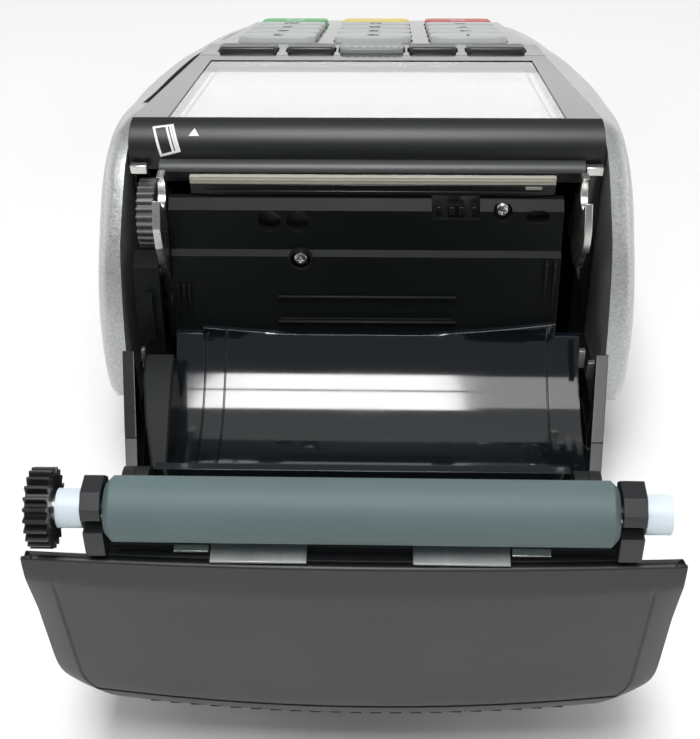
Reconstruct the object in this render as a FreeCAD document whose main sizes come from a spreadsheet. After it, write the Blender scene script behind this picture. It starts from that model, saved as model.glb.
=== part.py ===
import FreeCAD, Part
import math
import os
import Sketcher
from FreeCAD import Placement, Rotation, Vector

# Payment terminal, in millimetres. +Z is up, the keypad end faces -Y, the paper door is at +Y and
# stands open. The origin is under the middle of the whole, in the plane that the feet stand on.
# Pieces are drawn with Y = 0 between the keypad and the display, and node() shifts them at the end.

DIMENSIONS = {
    # Lower shell
    "nose_reach": 92.0,
    "tail_reach": 90.0,
    "foot_drop": 1.5,
    "split_height": 14.0,
    "shell_wall": 2.0,
    "shell_floor": 2.0,
    "shell_round": 2.5,
    "rear_wall_top": 19.0,
    # Keypad deck and display deck, seen from the side
    "keypad_front": -78.5,
    "keypad_height": 23.7,
    "keypad_tilt": 20.2,
    "display_rear": 43.1,
    "display_height": 60.6,
    "display_tilt": 13.2,
    "deck_wall": 2.0,
    "nose_height": 18.0,
    "housing_rear": 45.7,
    # Half widths of the deck at its stations along Y
    "nose_half": 30.6,
    "keypad_station": -30.0,
    "keypad_half": 31.8,
    "bend_station": -6.0,
    "bend_half": 34.0,
    "window_station": 40.0,
    "window_half": 38.4,
    "bay_station": 58.0,
    "bay_half": 39.7,
    # Side panels
    "panel_half": 44.45,
    "panel_gap": 0.15,
    "lane_width": 1.6,
    "lane_depth": 12.0,
    # Keys
    "key_pitch_x": 19.9,
    "key_pitch_y": 13.0,
    "key_width": 15.9,
    "key_depth": 9.8,
    "key_corner": 2.0,
    "key_proud": 2.0,
    "key_edge": 0.5,
    "key_gap": 0.3,
    "key_skirt": 0.7,
    "key_travel": 1.2,
    "soft_key_y": -10.6,
    "soft_key_depth": 4.6,
    "soft_key_proud": 1.8,
    "outer_soft_width": 11.5,
    "outer_soft_x": 24.6,
    "inner_soft_width": 9.4,
    "inner_soft_x": 12.1,
    "centre_key_width": 12.6,
    "centre_key_depth": 5.6,
    "mat_thick": 1.6,
    "board_thick": 1.6,
    # Display
    "bezel_front": -5.4,
    "bezel_thick": 1.3,
    "bezel_gap": 0.15,
    "window_front": -1.0,
    "window_rear": 42.0,
    "window_front_half": 31.0,
    "window_rear_half": 32.6,
    "lens_thick": 1.0,
    "lcd_thick": 3.0,
    # Paper bay
    "bay_front": 58.5,
    "bay_floor": 17.7,
    "tray_wall": 1.8,
    "tray_left": 35.9,
    "tray_right": 32.0,
    "tray_lip_low": 28.6,
    "tray_lip_left": 33.2,
    "tray_lip_right": 31.6,
    "tray_rear_top": 25.7,
    "wall_half": 32.2,
    # Walls beside the bay
    "wing_wall": 1.9,
    "wing_bend": 66.0,
    "wing_end": 79.0,
    "wing_half": 38.1,
    "tail_half": 36.8,
    "wing_sill": 19.6,
    # Door hinge
    "hinge_set": 1.8,
    "hinge_z": 23.0,
    "open_angle": 100.2,
    "pin_radius": 1.5,
    "pin_slack": 0.06,
    "eye_radius": 3.8,
    "lug_inner": 32.0,
    "lug_outer": 34.0,
    "ear_inner": 34.1,
    "ear_outer": 36.0,
    # Door shell, measured from the hinge with the door shut
    "door_half": 39.4,
    "door_skirt": 2.0,
    "door_wall": 1.9,
    "door_top": 35.8,
    "door_front": 59.7,
    "door_tail": 11.2,
    "door_tail_low": 3.0,
    "door_crown": 0.85,
    "skirt_slope": 0.607,
    # Platen roller, its axis measured from the hinge with the door shut
    "roller_press": 0.05,
    "roller_z": 30.4,
    "roller_radius": 3.9,
    "rubber_left": 30.8,
    "rubber_right": 28.7,
    "shaft_radius": 1.5,
    "shaft_left": 37.0,
    "shaft_right": 37.8,
    "clip_slack": 0.06,
    "clip_right_inner": 28.9,
    "clip_right_outer": 31.2,
    "clip_left_inner": 31.0,
    "clip_left_outer": 33.7,
    "bush_radius": 2.35,
    "bush_length": 3.0,
    "bush_slack": 0.05,
    "slot_slack": 0.12,
    # Gears
    "tooth_module": 0.4,
    "gear_inner": 34.8,
    "gear_outer": 37.5,
    "roller_teeth": 22,
    "output_teeth": 28,
    "idler_teeth": 24,
    "pinion_teeth": 12,
    "axle_radius": 1.2,
    "axle_slack": 0.05,
    "idler_bearing": -75.0,
    "pinion_bearing": -120.0,
    # Print head
    "head_face": 50.6,
    "head_top": 54.1,
    "head_bottom": 50.8,
    "head_thick": 0.8,
    "head_left": 30.8,
    "head_right": 28.6,
    "sink_thick": 1.2,
    "sink_bottom": 42.0,
    # Side frames
    "frame_thick": 1.2,
    "frame_right": 32.4,
    "frame_left": 34.6,
    # Feet and screws
    "foot_radius": 5.0,
    "screw_radius": 1.3,
    "screw_head": 2.4,
    # Jacks
    "jack_width": 13.0,
    "jack_height": 11.4,
    "jack_depth": 14.0,
    "jack_sill": 3.6,
    "jack_pitch": 15.5,
    "power_radius": 4.2,
}

doc = FreeCAD.newDocument("payment_terminal")
sheet = doc.addObject("Spreadsheet::Sheet", "Sizes")
for row, (alias, number) in enumerate(DIMENSIONS.items(), start=1):
    cell = f"A{row}"
    sheet.set(cell, str(number))
    sheet.setAlias(cell, alias)
doc.recompute()


class Size:
    """A number worked out from the sheet, with the expression that gives it."""

    def __init__(self, value, text):
        self.value = float(value)
        self.text = text

    def joined(self, other, sign, value):
        return Size(value, f"({self.text} {sign} {sized(other).text})")

    def __add__(self, other):
        return self.joined(other, "+", self.value + sized(other).value)

    def __sub__(self, other):
        return self.joined(other, "-", self.value - sized(other).value)

    def __mul__(self, other):
        return self.joined(other, "*", self.value * sized(other).value)

    def __truediv__(self, other):
        return self.joined(other, "/", self.value / sized(other).value)

    def __radd__(self, other):
        return sized(other) + self

    def __rsub__(self, other):
        return sized(other) - self

    def __rmul__(self, other):
        return sized(other) * self

    def __neg__(self):
        return Size(-self.value, f"(0 - {self.text})")


class SheetSizes:
    """Gives each size of the sheet by its alias."""

    def __getattr__(self, alias):
        return Size(DIMENSIONS[alias], f"Sizes.{alias}")


def sized(number):
    return number if isinstance(number, Size) else Size(number, f"({float(number)})")


def sine(angle):
    return Size(math.sin(math.radians(angle.value)), f"sin({angle.text})")


def cosine(angle):
    return Size(math.cos(math.radians(angle.value)), f"cos({angle.text})")


def tangent(angle):
    return sine(angle) / cosine(angle)


def root(size):
    return Size(math.sqrt(size.value), f"sqrt({size.text})")


def bearing(along, up):
    """The angle of a direction in the YZ plane."""
    value = math.degrees(math.atan2(sized(up).value, sized(along).value))
    return Size(value, f"atan2({sized(up).text}; {sized(along).text})")


def bind(item, path, size):
    item.setExpression(path, sized(size).text)


d = SheetSizes()
UP = {"XY": Rotation(), "XZ": Rotation(Vector(1, 0, 0), 90), "YZ": Rotation(Vector(1, 1, 1), 120)}
NORMAL = {"XY": "z", "XZ": "y", "YZ": "x"}
AXIS_TURN = {
    "X": Rotation(Vector(0, 1, 0), 90),
    "Y": Rotation(Vector(1, 0, 0), -90),
    "Z": Rotation(),
}


def outline(name, plane, corners, height):
    """A closed outline. A corner given with two more numbers is left by an arc through that point."""
    sketch = doc.addObject("Sketcher::SketchObject", name + "_outline")
    sketch.Placement = Placement(Vector(), UP[plane])
    bind(sketch, "Placement.Base." + NORMAL[plane], height)
    spots = [[sized(number) for number in corner] for corner in corners]
    flat = [Vector(spot[0].value, spot[1].value, 0) for spot in spots]
    starts, ends, rules = [], [], []
    for index, spot in enumerate(spots):
        first, last = flat[index], flat[(index + 1) % len(spots)]
        if len(spot) == 4:
            middle = Vector(spot[2].value, spot[3].value, 0)
            edge = sketch.addGeometry(Part.Arc(first, middle, last))
            forward = (sketch.getPoint(edge, 1) - first).Length < (sketch.getPoint(edge, 2) - first).Length
            mark = sketch.addGeometry(Part.Point(middle), True)
            rules.append((mark, 1, spot[2], spot[3]))
            sketch.addConstraint(Sketcher.Constraint("PointOnObject", mark, 1, edge))
        else:
            edge = sketch.addGeometry(Part.LineSegment(first, last))
            forward = True
        starts.append((edge, 1 if forward else 2))
        ends.append((edge, 2 if forward else 1))
        rules.append((*starts[-1], spot[0], spot[1]))
    for index, end in enumerate(ends):
        sketch.addConstraint(Sketcher.Constraint("Coincident", *end, *starts[(index + 1) % len(starts)]))
    for edge, point, across, up in rules:
        for kind, size, axis in (("DistanceX", across, -2), ("DistanceY", up, -1)):
            if size.value == 0 and "Sizes" not in size.text:
                sketch.addConstraint(Sketcher.Constraint("PointOnObject", edge, point, axis))
            else:
                rule = sketch.addConstraint(Sketcher.Constraint(kind, -1, 1, edge, point, size.value))
                bind(sketch, f"Constraints[{rule}]", size)
    return sketch


def prism(name, plane, corners, low, high):
    """An outline pushed out square to its plane, from low to high along that axis."""
    solid = doc.addObject("Part::Extrusion", name)
    solid.Base = outline(name, plane, corners, high if plane == "XZ" else low)
    solid.DirMode = "Normal"
    solid.Solid = True
    bind(solid, "LengthFwd", sized(high) - low)
    return solid


def box(name, across, along, up):
    """A box given by its low and high place on each axis."""
    solid = doc.addObject("Part::Box", name)
    for axis, side, (low, high) in zip("xyz", ("Length", "Width", "Height"), (across, along, up)):
        bind(solid, side, sized(high) - low)
        bind(solid, "Placement.Base." + axis, low)
    return solid


def rod(name, axis, radius, centre, low, high):
    """A cylinder along X, Y or Z. Its centre is given on the other two axes, in their order."""
    solid = doc.addObject("Part::Cylinder", name)
    solid.Placement = Placement(Vector(), AXIS_TURN[axis])
    bind(solid, "Radius", radius)
    bind(solid, "Height", sized(high) - low)
    places = list(centre)
    places.insert("XYZ".index(axis), low)
    for letter, place in zip("xyz", places):
        bind(solid, "Placement.Base." + letter, place)
    return solid


def group(name, pieces):
    compound = doc.addObject("Part::Compound", name)
    compound.Links = pieces
    return compound


def fuse(name, *pieces):
    joined = doc.addObject("Part::MultiFuse", name)
    joined.Shapes = list(pieces)
    joined.Refine = True
    return joined


def common(name, *pieces):
    shared = doc.addObject("Part::MultiCommon", name)
    shared.Shapes = list(pieces)
    return shared


def cut(name, base, *tools):
    """The base less its tools, which may overlap each other."""
    left = doc.addObject("Part::Cut", name)
    left.Base = base
    left.Tool = tools[0] if len(tools) == 1 else fuse(name + "_tools", *tools)
    return left


def mirrored(name, source):
    copy = doc.addObject("Part::Mirroring", name)
    copy.Source = source
    copy.Normal = Vector(1, 0, 0)
    return copy


def trimmed(name, base, radius, picks, kind="Part::Fillet"):
    """Rounds or chamfers the edges of the base that the test picks."""
    doc.recompute()
    solid = doc.addObject(kind, name)
    solid.Base = base
    edges = enumerate(base.Shape.Edges, start=1)
    solid.Edges = [(index, radius.value, radius.value) for index, edge in edges if picks(edge)]
    return solid


def both_sides(halves):
    """A plan outline, the same on both sides, from (half width, y) stations."""
    right = [(half, y) for half, y in halves]
    left = [(-sized(half), y) for half, y in reversed(halves)]
    return right + left


def cut_plate(half_width, half_depth, radius):
    """A rectangle about the origin whose corners are cut in two steps."""
    wide, deep = sized(half_width), sized(half_depth)
    bulge = radius * 0.293
    quarter = [(wide - radius, deep), (wide - bulge, deep - bulge), (wide, deep - radius)]
    upper = [(-x, y) for x, y in quarter[::-1]] + quarter
    return upper + [(x, -y) for x, y in upper[::-1]]


def place(item, base, turn=0):
    """Moves a finished piece to its frame: a turn about X, then a shift."""
    item.Placement = Placement(Vector(), Rotation(Vector(1, 0, 0), 10))
    bind(item, "Placement.Rotation.Angle", turn)
    for letter, spot in zip("xyz", base):
        bind(item, "Placement.Base." + letter, spot)
    return item


nodes = {}


def node(label, item):
    """Shifts a finished piece to the whole's origin and gives it its name."""
    piece = group(label + "_piece", [item])
    bind(piece, "Placement.Base.y", -middle_y)
    piece.Label = label
    nodes[label] = piece
    return item


# Lines of the deck, as heights over a place along Y

def keypad_line(y, depth=0):
    return d.keypad_height + (sized(y) - d.keypad_front) * tangent(d.keypad_tilt) - sized(depth) / cosine(d.keypad_tilt)


def display_line(y, depth=0):
    fall = (d.display_rear - y) * tangent(d.display_tilt)
    return d.display_height - fall - sized(depth) / cosine(d.display_tilt)


def bend_place(depth=0):
    """Where the keypad plane meets the display plane."""
    gap = display_line(0, depth) - keypad_line(0, depth)
    return gap / (tangent(d.keypad_tilt) - tangent(d.display_tilt))


hinge_y = d.tail_reach + d.hinge_set
shut_roller_y = d.head_face + d.roller_radius + d.roller_press
shut_roller_z = d.hinge_z + d.roller_z
roller_back = shut_roller_y - hinge_y
door_edge = hinge_y - d.door_front
open_roller_y = hinge_y + roller_back * cosine(d.open_angle) + d.roller_z * sine(d.open_angle)
rear_reach = open_roller_y + (d.roller_teeth / 2 + 1) * d.tooth_module
middle_y = (rear_reach - d.nose_reach) / 2
bend_y = bend_place()
KEYPAD_FRAME = (0, d.keypad_front, d.keypad_height)
DISPLAY_FRAME = (0, bend_y, display_line(bend_y))
HINGE_FRAME = (0, hinge_y, d.hinge_z)
bay_rear = d.tail_reach - 0.2
bay_y = d.bay_front + (bay_rear - d.bay_front) * 0.575
bay_radius = (bay_rear - d.bay_front) * 0.6486
bay_z = d.bay_floor + bay_radius


def deck_plan(inset, nose, tail):
    """Half widths of the deck, drawn in by an inset."""
    return both_sides([
        (d.nose_half - inset - 8, -nose),
        (d.nose_half - inset, -(nose - 9)),
        (d.keypad_half - inset, d.keypad_station),
        (d.bend_half - inset, d.bend_station),
        (d.window_half - inset, d.window_station),
        (d.bay_half - inset, d.bay_station),
        (d.bay_half - inset, tail),
    ])


def lower_plan(inset):
    """Half widths of the lower shell, drawn in by an inset."""
    nose = d.nose_reach - inset
    tail = d.tail_reach - inset
    edge = d.panel_half - 1.0 - inset
    return both_sides([
        (24 - inset, -nose),
        (31 - inset, -(nose - 3)),
        (34.8 - inset, -(nose - 9)),
        (d.keypad_half + 6.6 - inset, d.keypad_station),
        (d.bend_half + 6.6 - inset, d.bend_station),
        (edge, 22),
        (edge, d.bay_station),
        (d.bay_half - inset, d.wing_bend),
        (d.wing_half - inset, d.wing_end),
        (d.tail_half - inset, tail),
    ])


def wing_plan(inset, front, rear):
    """Half widths of the walls beside the paper bay, drawn in by an inset."""
    return both_sides([
        (d.window_half - inset, front),
        (d.bay_half - inset, d.bay_station),
        (d.bay_half - inset, d.wing_bend),
        (d.wing_half - inset, d.wing_end),
        (d.tail_half - inset, rear),
    ])


def wall_ring(name, front, rear):
    """Both walls beside the bay, as thick upright strips."""
    outer = prism(name + "_outer", "XY", wing_plan(sized(0), front, rear), 5, 70)
    inner = prism(name + "_inner", "XY", wing_plan(d.wing_wall, sized(front) - 1, sized(rear) + 1), 4, 71)
    return cut(name + "_ring", outer, inner)


def make_base_shell():
    """The lower tub, with the hinge ears, the rear wall and the feet pads."""
    low = d.foot_drop
    block = prism("lower_block", "XY", lower_plan(sized(0)), low, d.split_height)
    rounded = trimmed("lower_round", block, d.shell_round, lambda edge: edge.BoundBox.ZMax < low.value + 0.01,
                      "Part::Chamfer")
    hollow = prism("lower_hollow", "XY", lower_plan(d.shell_wall), low + d.shell_floor, d.split_height + 1)
    rear = box("rear_wall", (-d.ear_outer, d.ear_outer), (d.tail_reach - d.shell_wall, d.tail_reach),
               (low, d.rear_wall_top))
    side_walls = common("tail_walls", wall_ring("tail", d.window_station, d.tail_reach), prism("tail_line", "YZ", [
        (d.wing_end + 0.1, low + 4), (d.tail_reach, low + 4), (d.tail_reach, 17), (88, 17), (83.3, 19.5),
        (d.wing_end + 0.1, 22.6)], -50, 50))
    ears = []
    for name, near, far in (("ear_right", d.ear_inner, d.ear_outer), ("ear_left", -d.ear_outer, -d.ear_inner)):
        arm = prism(name + "_arm", "YZ", [
            (hinge_y - 7.8, 8), (hinge_y - 2.8, 8), (hinge_y + 3.2, d.hinge_z - 2),
            (hinge_y, d.hinge_z + d.eye_radius), (hinge_y - 3.2, d.hinge_z - 2), (hinge_y - 3.6, d.hinge_z - 4.1),
        ], near, far)
        eye = rod(name + "_eye", "X", d.eye_radius, (hinge_y, d.hinge_z), near, far)
        ears += [arm, eye]
    posts = [rod(f"post_{i}", "Z", 2.6, spot, low + 1, d.split_height - 0.2)
             for i, spot in enumerate(SCREW_SPOTS)]
    solid = fuse("lower_solid", cut("lower_tub", rounded, hollow), rear, side_walls, *ears, *posts)
    bore = rod("hinge_bore", "X", d.pin_radius + d.pin_slack, (hinge_y, d.hinge_z), -50, 50)
    mouth = box("card_mouth", (-29, 29), (-d.nose_reach - 1, -d.nose_reach + d.shell_wall + 7), (5.4, 11))
    ports = [box(f"port_{i}", (x - d.jack_width / 2, x + d.jack_width / 2),
                 (d.tail_reach - d.shell_wall - 1, d.tail_reach + 1),
                 (d.jack_sill, d.jack_sill + d.jack_height))
             for i, x in enumerate(JACK_PLACES)]
    inlet = rod("power_port", "Y", d.power_radius, (POWER_PLACE, POWER_HEIGHT),
                d.tail_reach - d.shell_wall - 1, d.tail_reach + 1)
    feet = [rod(f"foot_seat_{i}", "Z", d.foot_radius + 0.1, spot, low - 1, low + 0.8)
            for i, spot in enumerate(FOOT_SPOTS)]
    screws = []
    for i, spot in enumerate(SCREW_SPOTS):
        screws.append(rod(f"screw_way_{i}", "Z", d.screw_radius, spot, low - 1, d.split_height + 1))
        screws.append(rod(f"screw_sink_{i}", "Z", d.screw_head + 0.2, spot, low - 1, low + 1.6))
    hatch = box("hatch_seat", HATCH_X, HATCH_Y, (low - 1, low + 1.2))
    return cut("lower_cut", solid, bore, mouth, *ports, inlet, *feet, *screws, hatch)


JACK_PLACES = [-d.jack_pitch, sized(0), d.jack_pitch]
POWER_PLACE = d.tail_half - 9.7
POWER_HEIGHT = d.jack_sill + d.jack_height / 2
FOOT_SPOTS = [(27, -76), (-27, -76), (34, 60), (-34, 60)]
SCREW_SPOTS = [(31.8, -56), (-31.8, -56), (35, 40), (-35, 40)]
STRIPE_Y = (-36, -24)
STRIPE_Z = (31.5, 37.5)
HATCH_X = (-20, 20)
HATCH_Y = (-8, 22)

node("base_shell", make_base_shell())


def housing_profile(depth, front, rear, floor):
    """Side outline of the deck, drawn in by a depth; the bezel's seat is let into it."""
    bend = bend_place(depth)
    seat = sized(depth) + d.bezel_thick
    return [
        (-front, floor),
        (-front, d.nose_height - depth),
        (-(front - 2.4), keypad_line(-(front - 2.4), depth) + 0.1),
        (bend, display_line(bend, depth)),
        (d.bezel_front - 0.2, display_line(d.bezel_front - 0.2, depth)),
        (d.bezel_front - 0.2, display_line(d.bezel_front - 0.2, seat)),
        (d.display_rear - 1.2, display_line(d.display_rear - 1.2, seat)),
        (rear, display_line(d.display_rear, seat) - 3.4),
        (rear, floor),
    ]


def key_spots():
    """Name, column and row of each key of the pad. Row 0 is nearest the user."""
    names = [
        ["key_cancel", "key_clear", "key_enter"],
        ["key_star", "key_0", "key_hash"],
        ["key_7", "key_8", "key_9"],
        ["key_4", "key_5", "key_6"],
        ["key_1", "key_2", "key_3"],
    ]
    for row, line in enumerate(names):
        for column, name in enumerate(line):
            yield name, d.key_pitch_x * (column - 1), d.key_depth / 2 + d.key_pitch_y * row


SOFT_KEYS = [
    ("soft_key_1", -d.outer_soft_x, d.outer_soft_width, d.soft_key_depth),
    ("soft_key_2", -d.inner_soft_x, d.inner_soft_width, d.soft_key_depth),
    ("soft_key_3", d.inner_soft_x, d.inner_soft_width, d.soft_key_depth),
    ("soft_key_4", d.outer_soft_x, d.outer_soft_width, d.soft_key_depth),
    ("key_menu", sized(0), d.centre_key_width, d.centre_key_depth),
]
soft_key_v = (d.soft_key_y - bend_y) / cosine(d.display_tilt)


def make_top_housing():
    """The upper shell: keypad deck, display deck and the wings beside the paper bay."""
    rear = d.housing_rear
    none = sized(0)
    outside = common("deck_outside", prism("deck_plan", "XY", deck_plan(none, d.nose_reach, rear), 10, 70),
                     prism("deck_side", "YZ",
                           housing_profile(none, d.nose_reach, rear, d.split_height), -50, 50))
    wall = d.deck_wall
    inside = common("deck_inside",
                    prism("deck_plan_in", "XY", deck_plan(wall, d.nose_reach - wall, rear - wall), 5, 70),
                    prism("deck_side_in", "YZ",
                          housing_profile(wall, d.nose_reach - wall, rear - wall, d.split_height - 1), -50, 50))
    key_ways = [prism("way_" + name, "XY", shifted(key_outline(d.key_gap), x, v), -6, 4)
                for name, x, v in key_spots()]
    soft_ways = [prism("way_" + name, "XY",
                       shifted(cut_plate(wide / 2 + d.key_gap, deep / 2 + d.key_gap, sized(0.8)), x, soft_key_v),
                       -6, 4)
                 for name, x, wide, deep in SOFT_KEYS]
    pad = place(group("key_ways", key_ways), KEYPAD_FRAME, d.keypad_tilt)
    strip = place(group("soft_ways", soft_ways), DISPLAY_FRAME, d.display_tilt)
    glass = prism("screen_way", "XY", both_sides([
        (d.window_front_half - 1.5, d.window_front + 1.5), (d.window_rear_half - 1.5, d.window_rear - 1.5)]), 30, 70)
    gear_room = box("gear_room", (d.gear_inner - 1.0, d.gear_outer + 0.7), (40.6, rear + 1), (20, 54))
    rear_door = box("rear_doorway", (-36, 36), (rear - wall - 1, rear + 1), (5, 51))
    head_way = box("stripe_way", (27, 35), (STRIPE_Y[0] - 0.2, STRIPE_Y[1] + 0.2),
                   (STRIPE_Z[0] - 0.2, STRIPE_Z[1] + 0.2))
    solid = cut("deck_cut", outside, inside, pad, strip, glass, gear_room, rear_door, head_way)
    line = prism("wing_line", "YZ", [
        (rear - 2.0, d.split_height), (d.wing_end, d.split_height), (d.wing_end, 22.6), (77.3, 23.9), (66.4, 30.5),
        (66.4, d.wing_sill), (rear - 2.0, d.wing_sill)], -50, 50)
    return fuse("deck_solid", solid, common("wings", wall_ring("wing", d.window_station, d.tail_reach), line))


def key_outline(gap):
    return cut_plate(d.key_width / 2 + gap, d.key_depth / 2 + gap, d.key_corner)


def shifted(corners, across, along):
    """An outline moved in its plane."""
    shift = [sized(across), sized(along)] * 2
    return [tuple(number + step for number, step in zip(corner, shift)) for corner in corners]


node("top_housing", make_top_housing())


def panel_section(name, y, inner, outer, low, high):
    """A cross section of the side panel: flat inside, bulging outside, rolled over at the top."""
    rise = high - low
    bulge = outer - inner
    swell = [(0.3, 0), (0.11, 0.15), (0.02, 0.32), (0, 0.47), (0.04, 0.64), (0.2, 0.82), (0.5, 0.96)]
    return outline(name, "XZ", [
        (inner, low), *[(outer - bulge * back, low + rise * up) for back, up in swell], (inner, high)], y)


def make_side_panel():
    """The right-hand panel, lofted through sections from the keypad to the paper bay."""
    low = d.split_height + 0.2
    gap = d.panel_gap
    stations = [
        (-(d.nose_reach - 9), d.nose_half, d.nose_half + 4.6, keypad_line(-(d.nose_reach - 9)) - 1.0),
        (-60, d.nose_half + 0.6, d.nose_half + 6.9, keypad_line(-60) - 0.6),
        (d.keypad_station, d.keypad_half, d.keypad_half + 7.6, keypad_line(d.keypad_station) - 0.6),
        (d.bend_station, d.bend_half, d.bend_half + 7.8, display_line(d.bend_station) - 0.6),
        (20, (d.bend_half + d.window_half) / 2 + 0.3, d.panel_half, display_line(20) - 0.6),
        (d.window_station, d.window_half, d.panel_half, display_line(d.window_station) - 1.2),
        (52, d.bay_half - 0.4, d.panel_half, sized(52.5)),
        (58.5, d.bay_half, d.panel_half - 0.4, sized(44)),
        (62.5, d.bay_half, d.panel_half - 1.5, sized(32)),
        (64.5, d.bay_half, d.panel_half - 2.6, sized(20.5)),
    ]
    loft = doc.addObject("Part::Loft", "panel_loft")
    loft.Sections = [panel_section(f"panel_{i}", y, sized(inner) + gap, sized(outer), low, high)
                     for i, (y, inner, outer, high) in enumerate(stations)]
    loft.Solid = True
    loft.Ruled = True
    return loft


panel_blank = make_side_panel()


def make_right_panel():
    """The right panel, with the card's swipe lane let in beside the deck."""
    lane_plan = prism("lane_plan", "XY", deck_plan(-(d.panel_gap + d.lane_width), d.nose_reach + 4, 60), 5, 70)
    floor = d.lane_depth
    lane_side = prism("lane_side", "YZ", [
        (-96, keypad_line(-96, floor) + 3), (-83, keypad_line(-83, floor) + 3), (-60, keypad_line(-60, floor)),
        (bend_y, keypad_line(bend_y, floor)), (24, keypad_line(bend_y, floor) + 10), (34, 80), (-96, 80)], -60, 60)
    return cut("panel_right_cut", panel_blank, common("lane_room", lane_plan, lane_side))


node("side_panel_right", make_right_panel())
node("side_panel_left", mirrored("panel_mirror", panel_blank))


def make_display_bezel():
    thick = d.bezel_thick
    crest = d.display_rear - 1.0
    back = d.head_face - 3.3
    side = prism("bezel_side", "YZ", [
        (d.bezel_front, display_line(d.bezel_front)),
        (crest, display_line(crest), back - 1.0, display_line(crest) - 1.7),
        (back, 55.4),
        (back, 53.6),
        (back - thick, 53.6),
        (back - thick, 55.2, back - thick - 0.9, display_line(crest) - 2.7),
        (crest - 0.4, display_line(crest - 0.4, thick)),
        (d.bezel_front, display_line(d.bezel_front, thick)),
    ], -50, 50)
    plan = prism("bezel_plan", "XY", deck_plan(d.bezel_gap, d.nose_reach, back + 1), 20, 80)
    glass = prism("window_way", "XY", both_sides([
        (d.window_front_half, d.window_front), (d.window_rear_half, d.window_rear)]), 20, 80)
    return cut("bezel_cut", common("bezel_solid", side, plan), glass)


node("display_bezel", make_display_bezel())


def make_window_plate(name, gap, top, thick):
    """A plate in the window's outline, parallel to the display plane."""
    plan = prism(name + "_plan", "XY", both_sides([
        (d.window_front_half - gap, d.window_front + gap),
        (d.window_rear_half - gap, d.window_rear - gap)]), 20, 80)
    front, rear = d.window_front - 2, d.window_rear + 2
    side = prism(name + "_side", "YZ", [
        (front, display_line(front, top + thick)), (rear, display_line(rear, top + thick)),
        (rear, display_line(rear, top)), (front, display_line(front, top))], -50, 50)
    return common(name + "_plate", plan, side)


node("display_lens", make_window_plate("lens", d.bezel_gap, sized(0.15), d.lens_thick))
node("lcd_module", make_window_plate("lcd", sized(1.8), d.lens_thick + 0.5, d.lcd_thick))


def make_key(name, width, depth, corner, proud, across, along, side_skirt, frame, tilt):
    """A key cap with chamfered top edges, and a flange under the deck that keeps it in."""
    plate = cut_plate(width / 2, depth / 2, corner)
    cap = prism(name + "_cap", "XY", shifted(plate, across, along), -(d.deck_wall + 1.2), proud)
    eased = trimmed(name + "_eased", cap, d.key_edge, lambda edge: edge.BoundBox.ZMin > proud.value - 0.01,
                    "Part::Chamfer")
    flange = prism(name + "_flange", "XY",
                   shifted(cut_plate(width / 2 + side_skirt, depth / 2 + d.key_skirt, corner), across, along),
                   -(d.deck_wall + 1.2), -(d.deck_wall + 0.35))
    return place(fuse(name + "_solid", eased, flange), frame, tilt)


for key_name, key_x, key_v in key_spots():
    node(key_name, make_key(key_name, d.key_width, d.key_depth, d.key_corner, d.key_proud, key_x, key_v,
                            d.key_skirt, KEYPAD_FRAME, d.keypad_tilt))
for key_name, key_x, wide, deep in SOFT_KEYS:
    node(key_name, make_key(key_name, wide, deep, sized(0.8), d.soft_key_proud, key_x, soft_key_v,
                            sized(0), DISPLAY_FRAME, d.display_tilt))


def make_keypad_mat():
    """The rubber mat, with a low pad under each key."""
    top = -(d.deck_wall + 1.2 + d.key_travel + 0.5)
    pad = box("mat_sheet", (-28.5, 28.5), (-2, d.key_depth + d.key_pitch_y * 4 + 2), (top - d.mat_thick, top))
    pads = [box("pad_" + name, (x - 2.2, x + 2.2), (v - 2.2, v + 2.2), (top - 0.1, top + 0.4))
            for name, x, v in key_spots()]
    return place(fuse("mat_solid", pad, *pads), KEYPAD_FRAME, d.keypad_tilt)


def make_main_board():
    top = -(d.deck_wall + 1.2 + d.key_travel + 0.5 + d.mat_thick)
    length = d.key_depth + d.key_pitch_y * 4 + 2
    sheet_piece = box("board_sheet", (-28.5, 28.5), (-2, length), (top - d.board_thick, top))
    chips = [box(f"chip_{i}", (x, x + w), (v, v + w), (top - d.board_thick - 1.4, top - d.board_thick))
             for i, (x, v, w) in enumerate([(-12, 30, 14), (10, 24, 9), (-24, 46, 10), (6, 48, 12)])]
    return place(fuse("board_solid", sheet_piece, *chips), KEYPAD_FRAME, d.keypad_tilt)


node("keypad_mat", make_keypad_mat())
node("main_board", make_main_board())


def bay_arc_z(y, radius):
    """Height of the tray's curve at a place along Y."""
    across = sized(y) - bay_y
    return bay_z - root(radius * radius - across * across)


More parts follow.
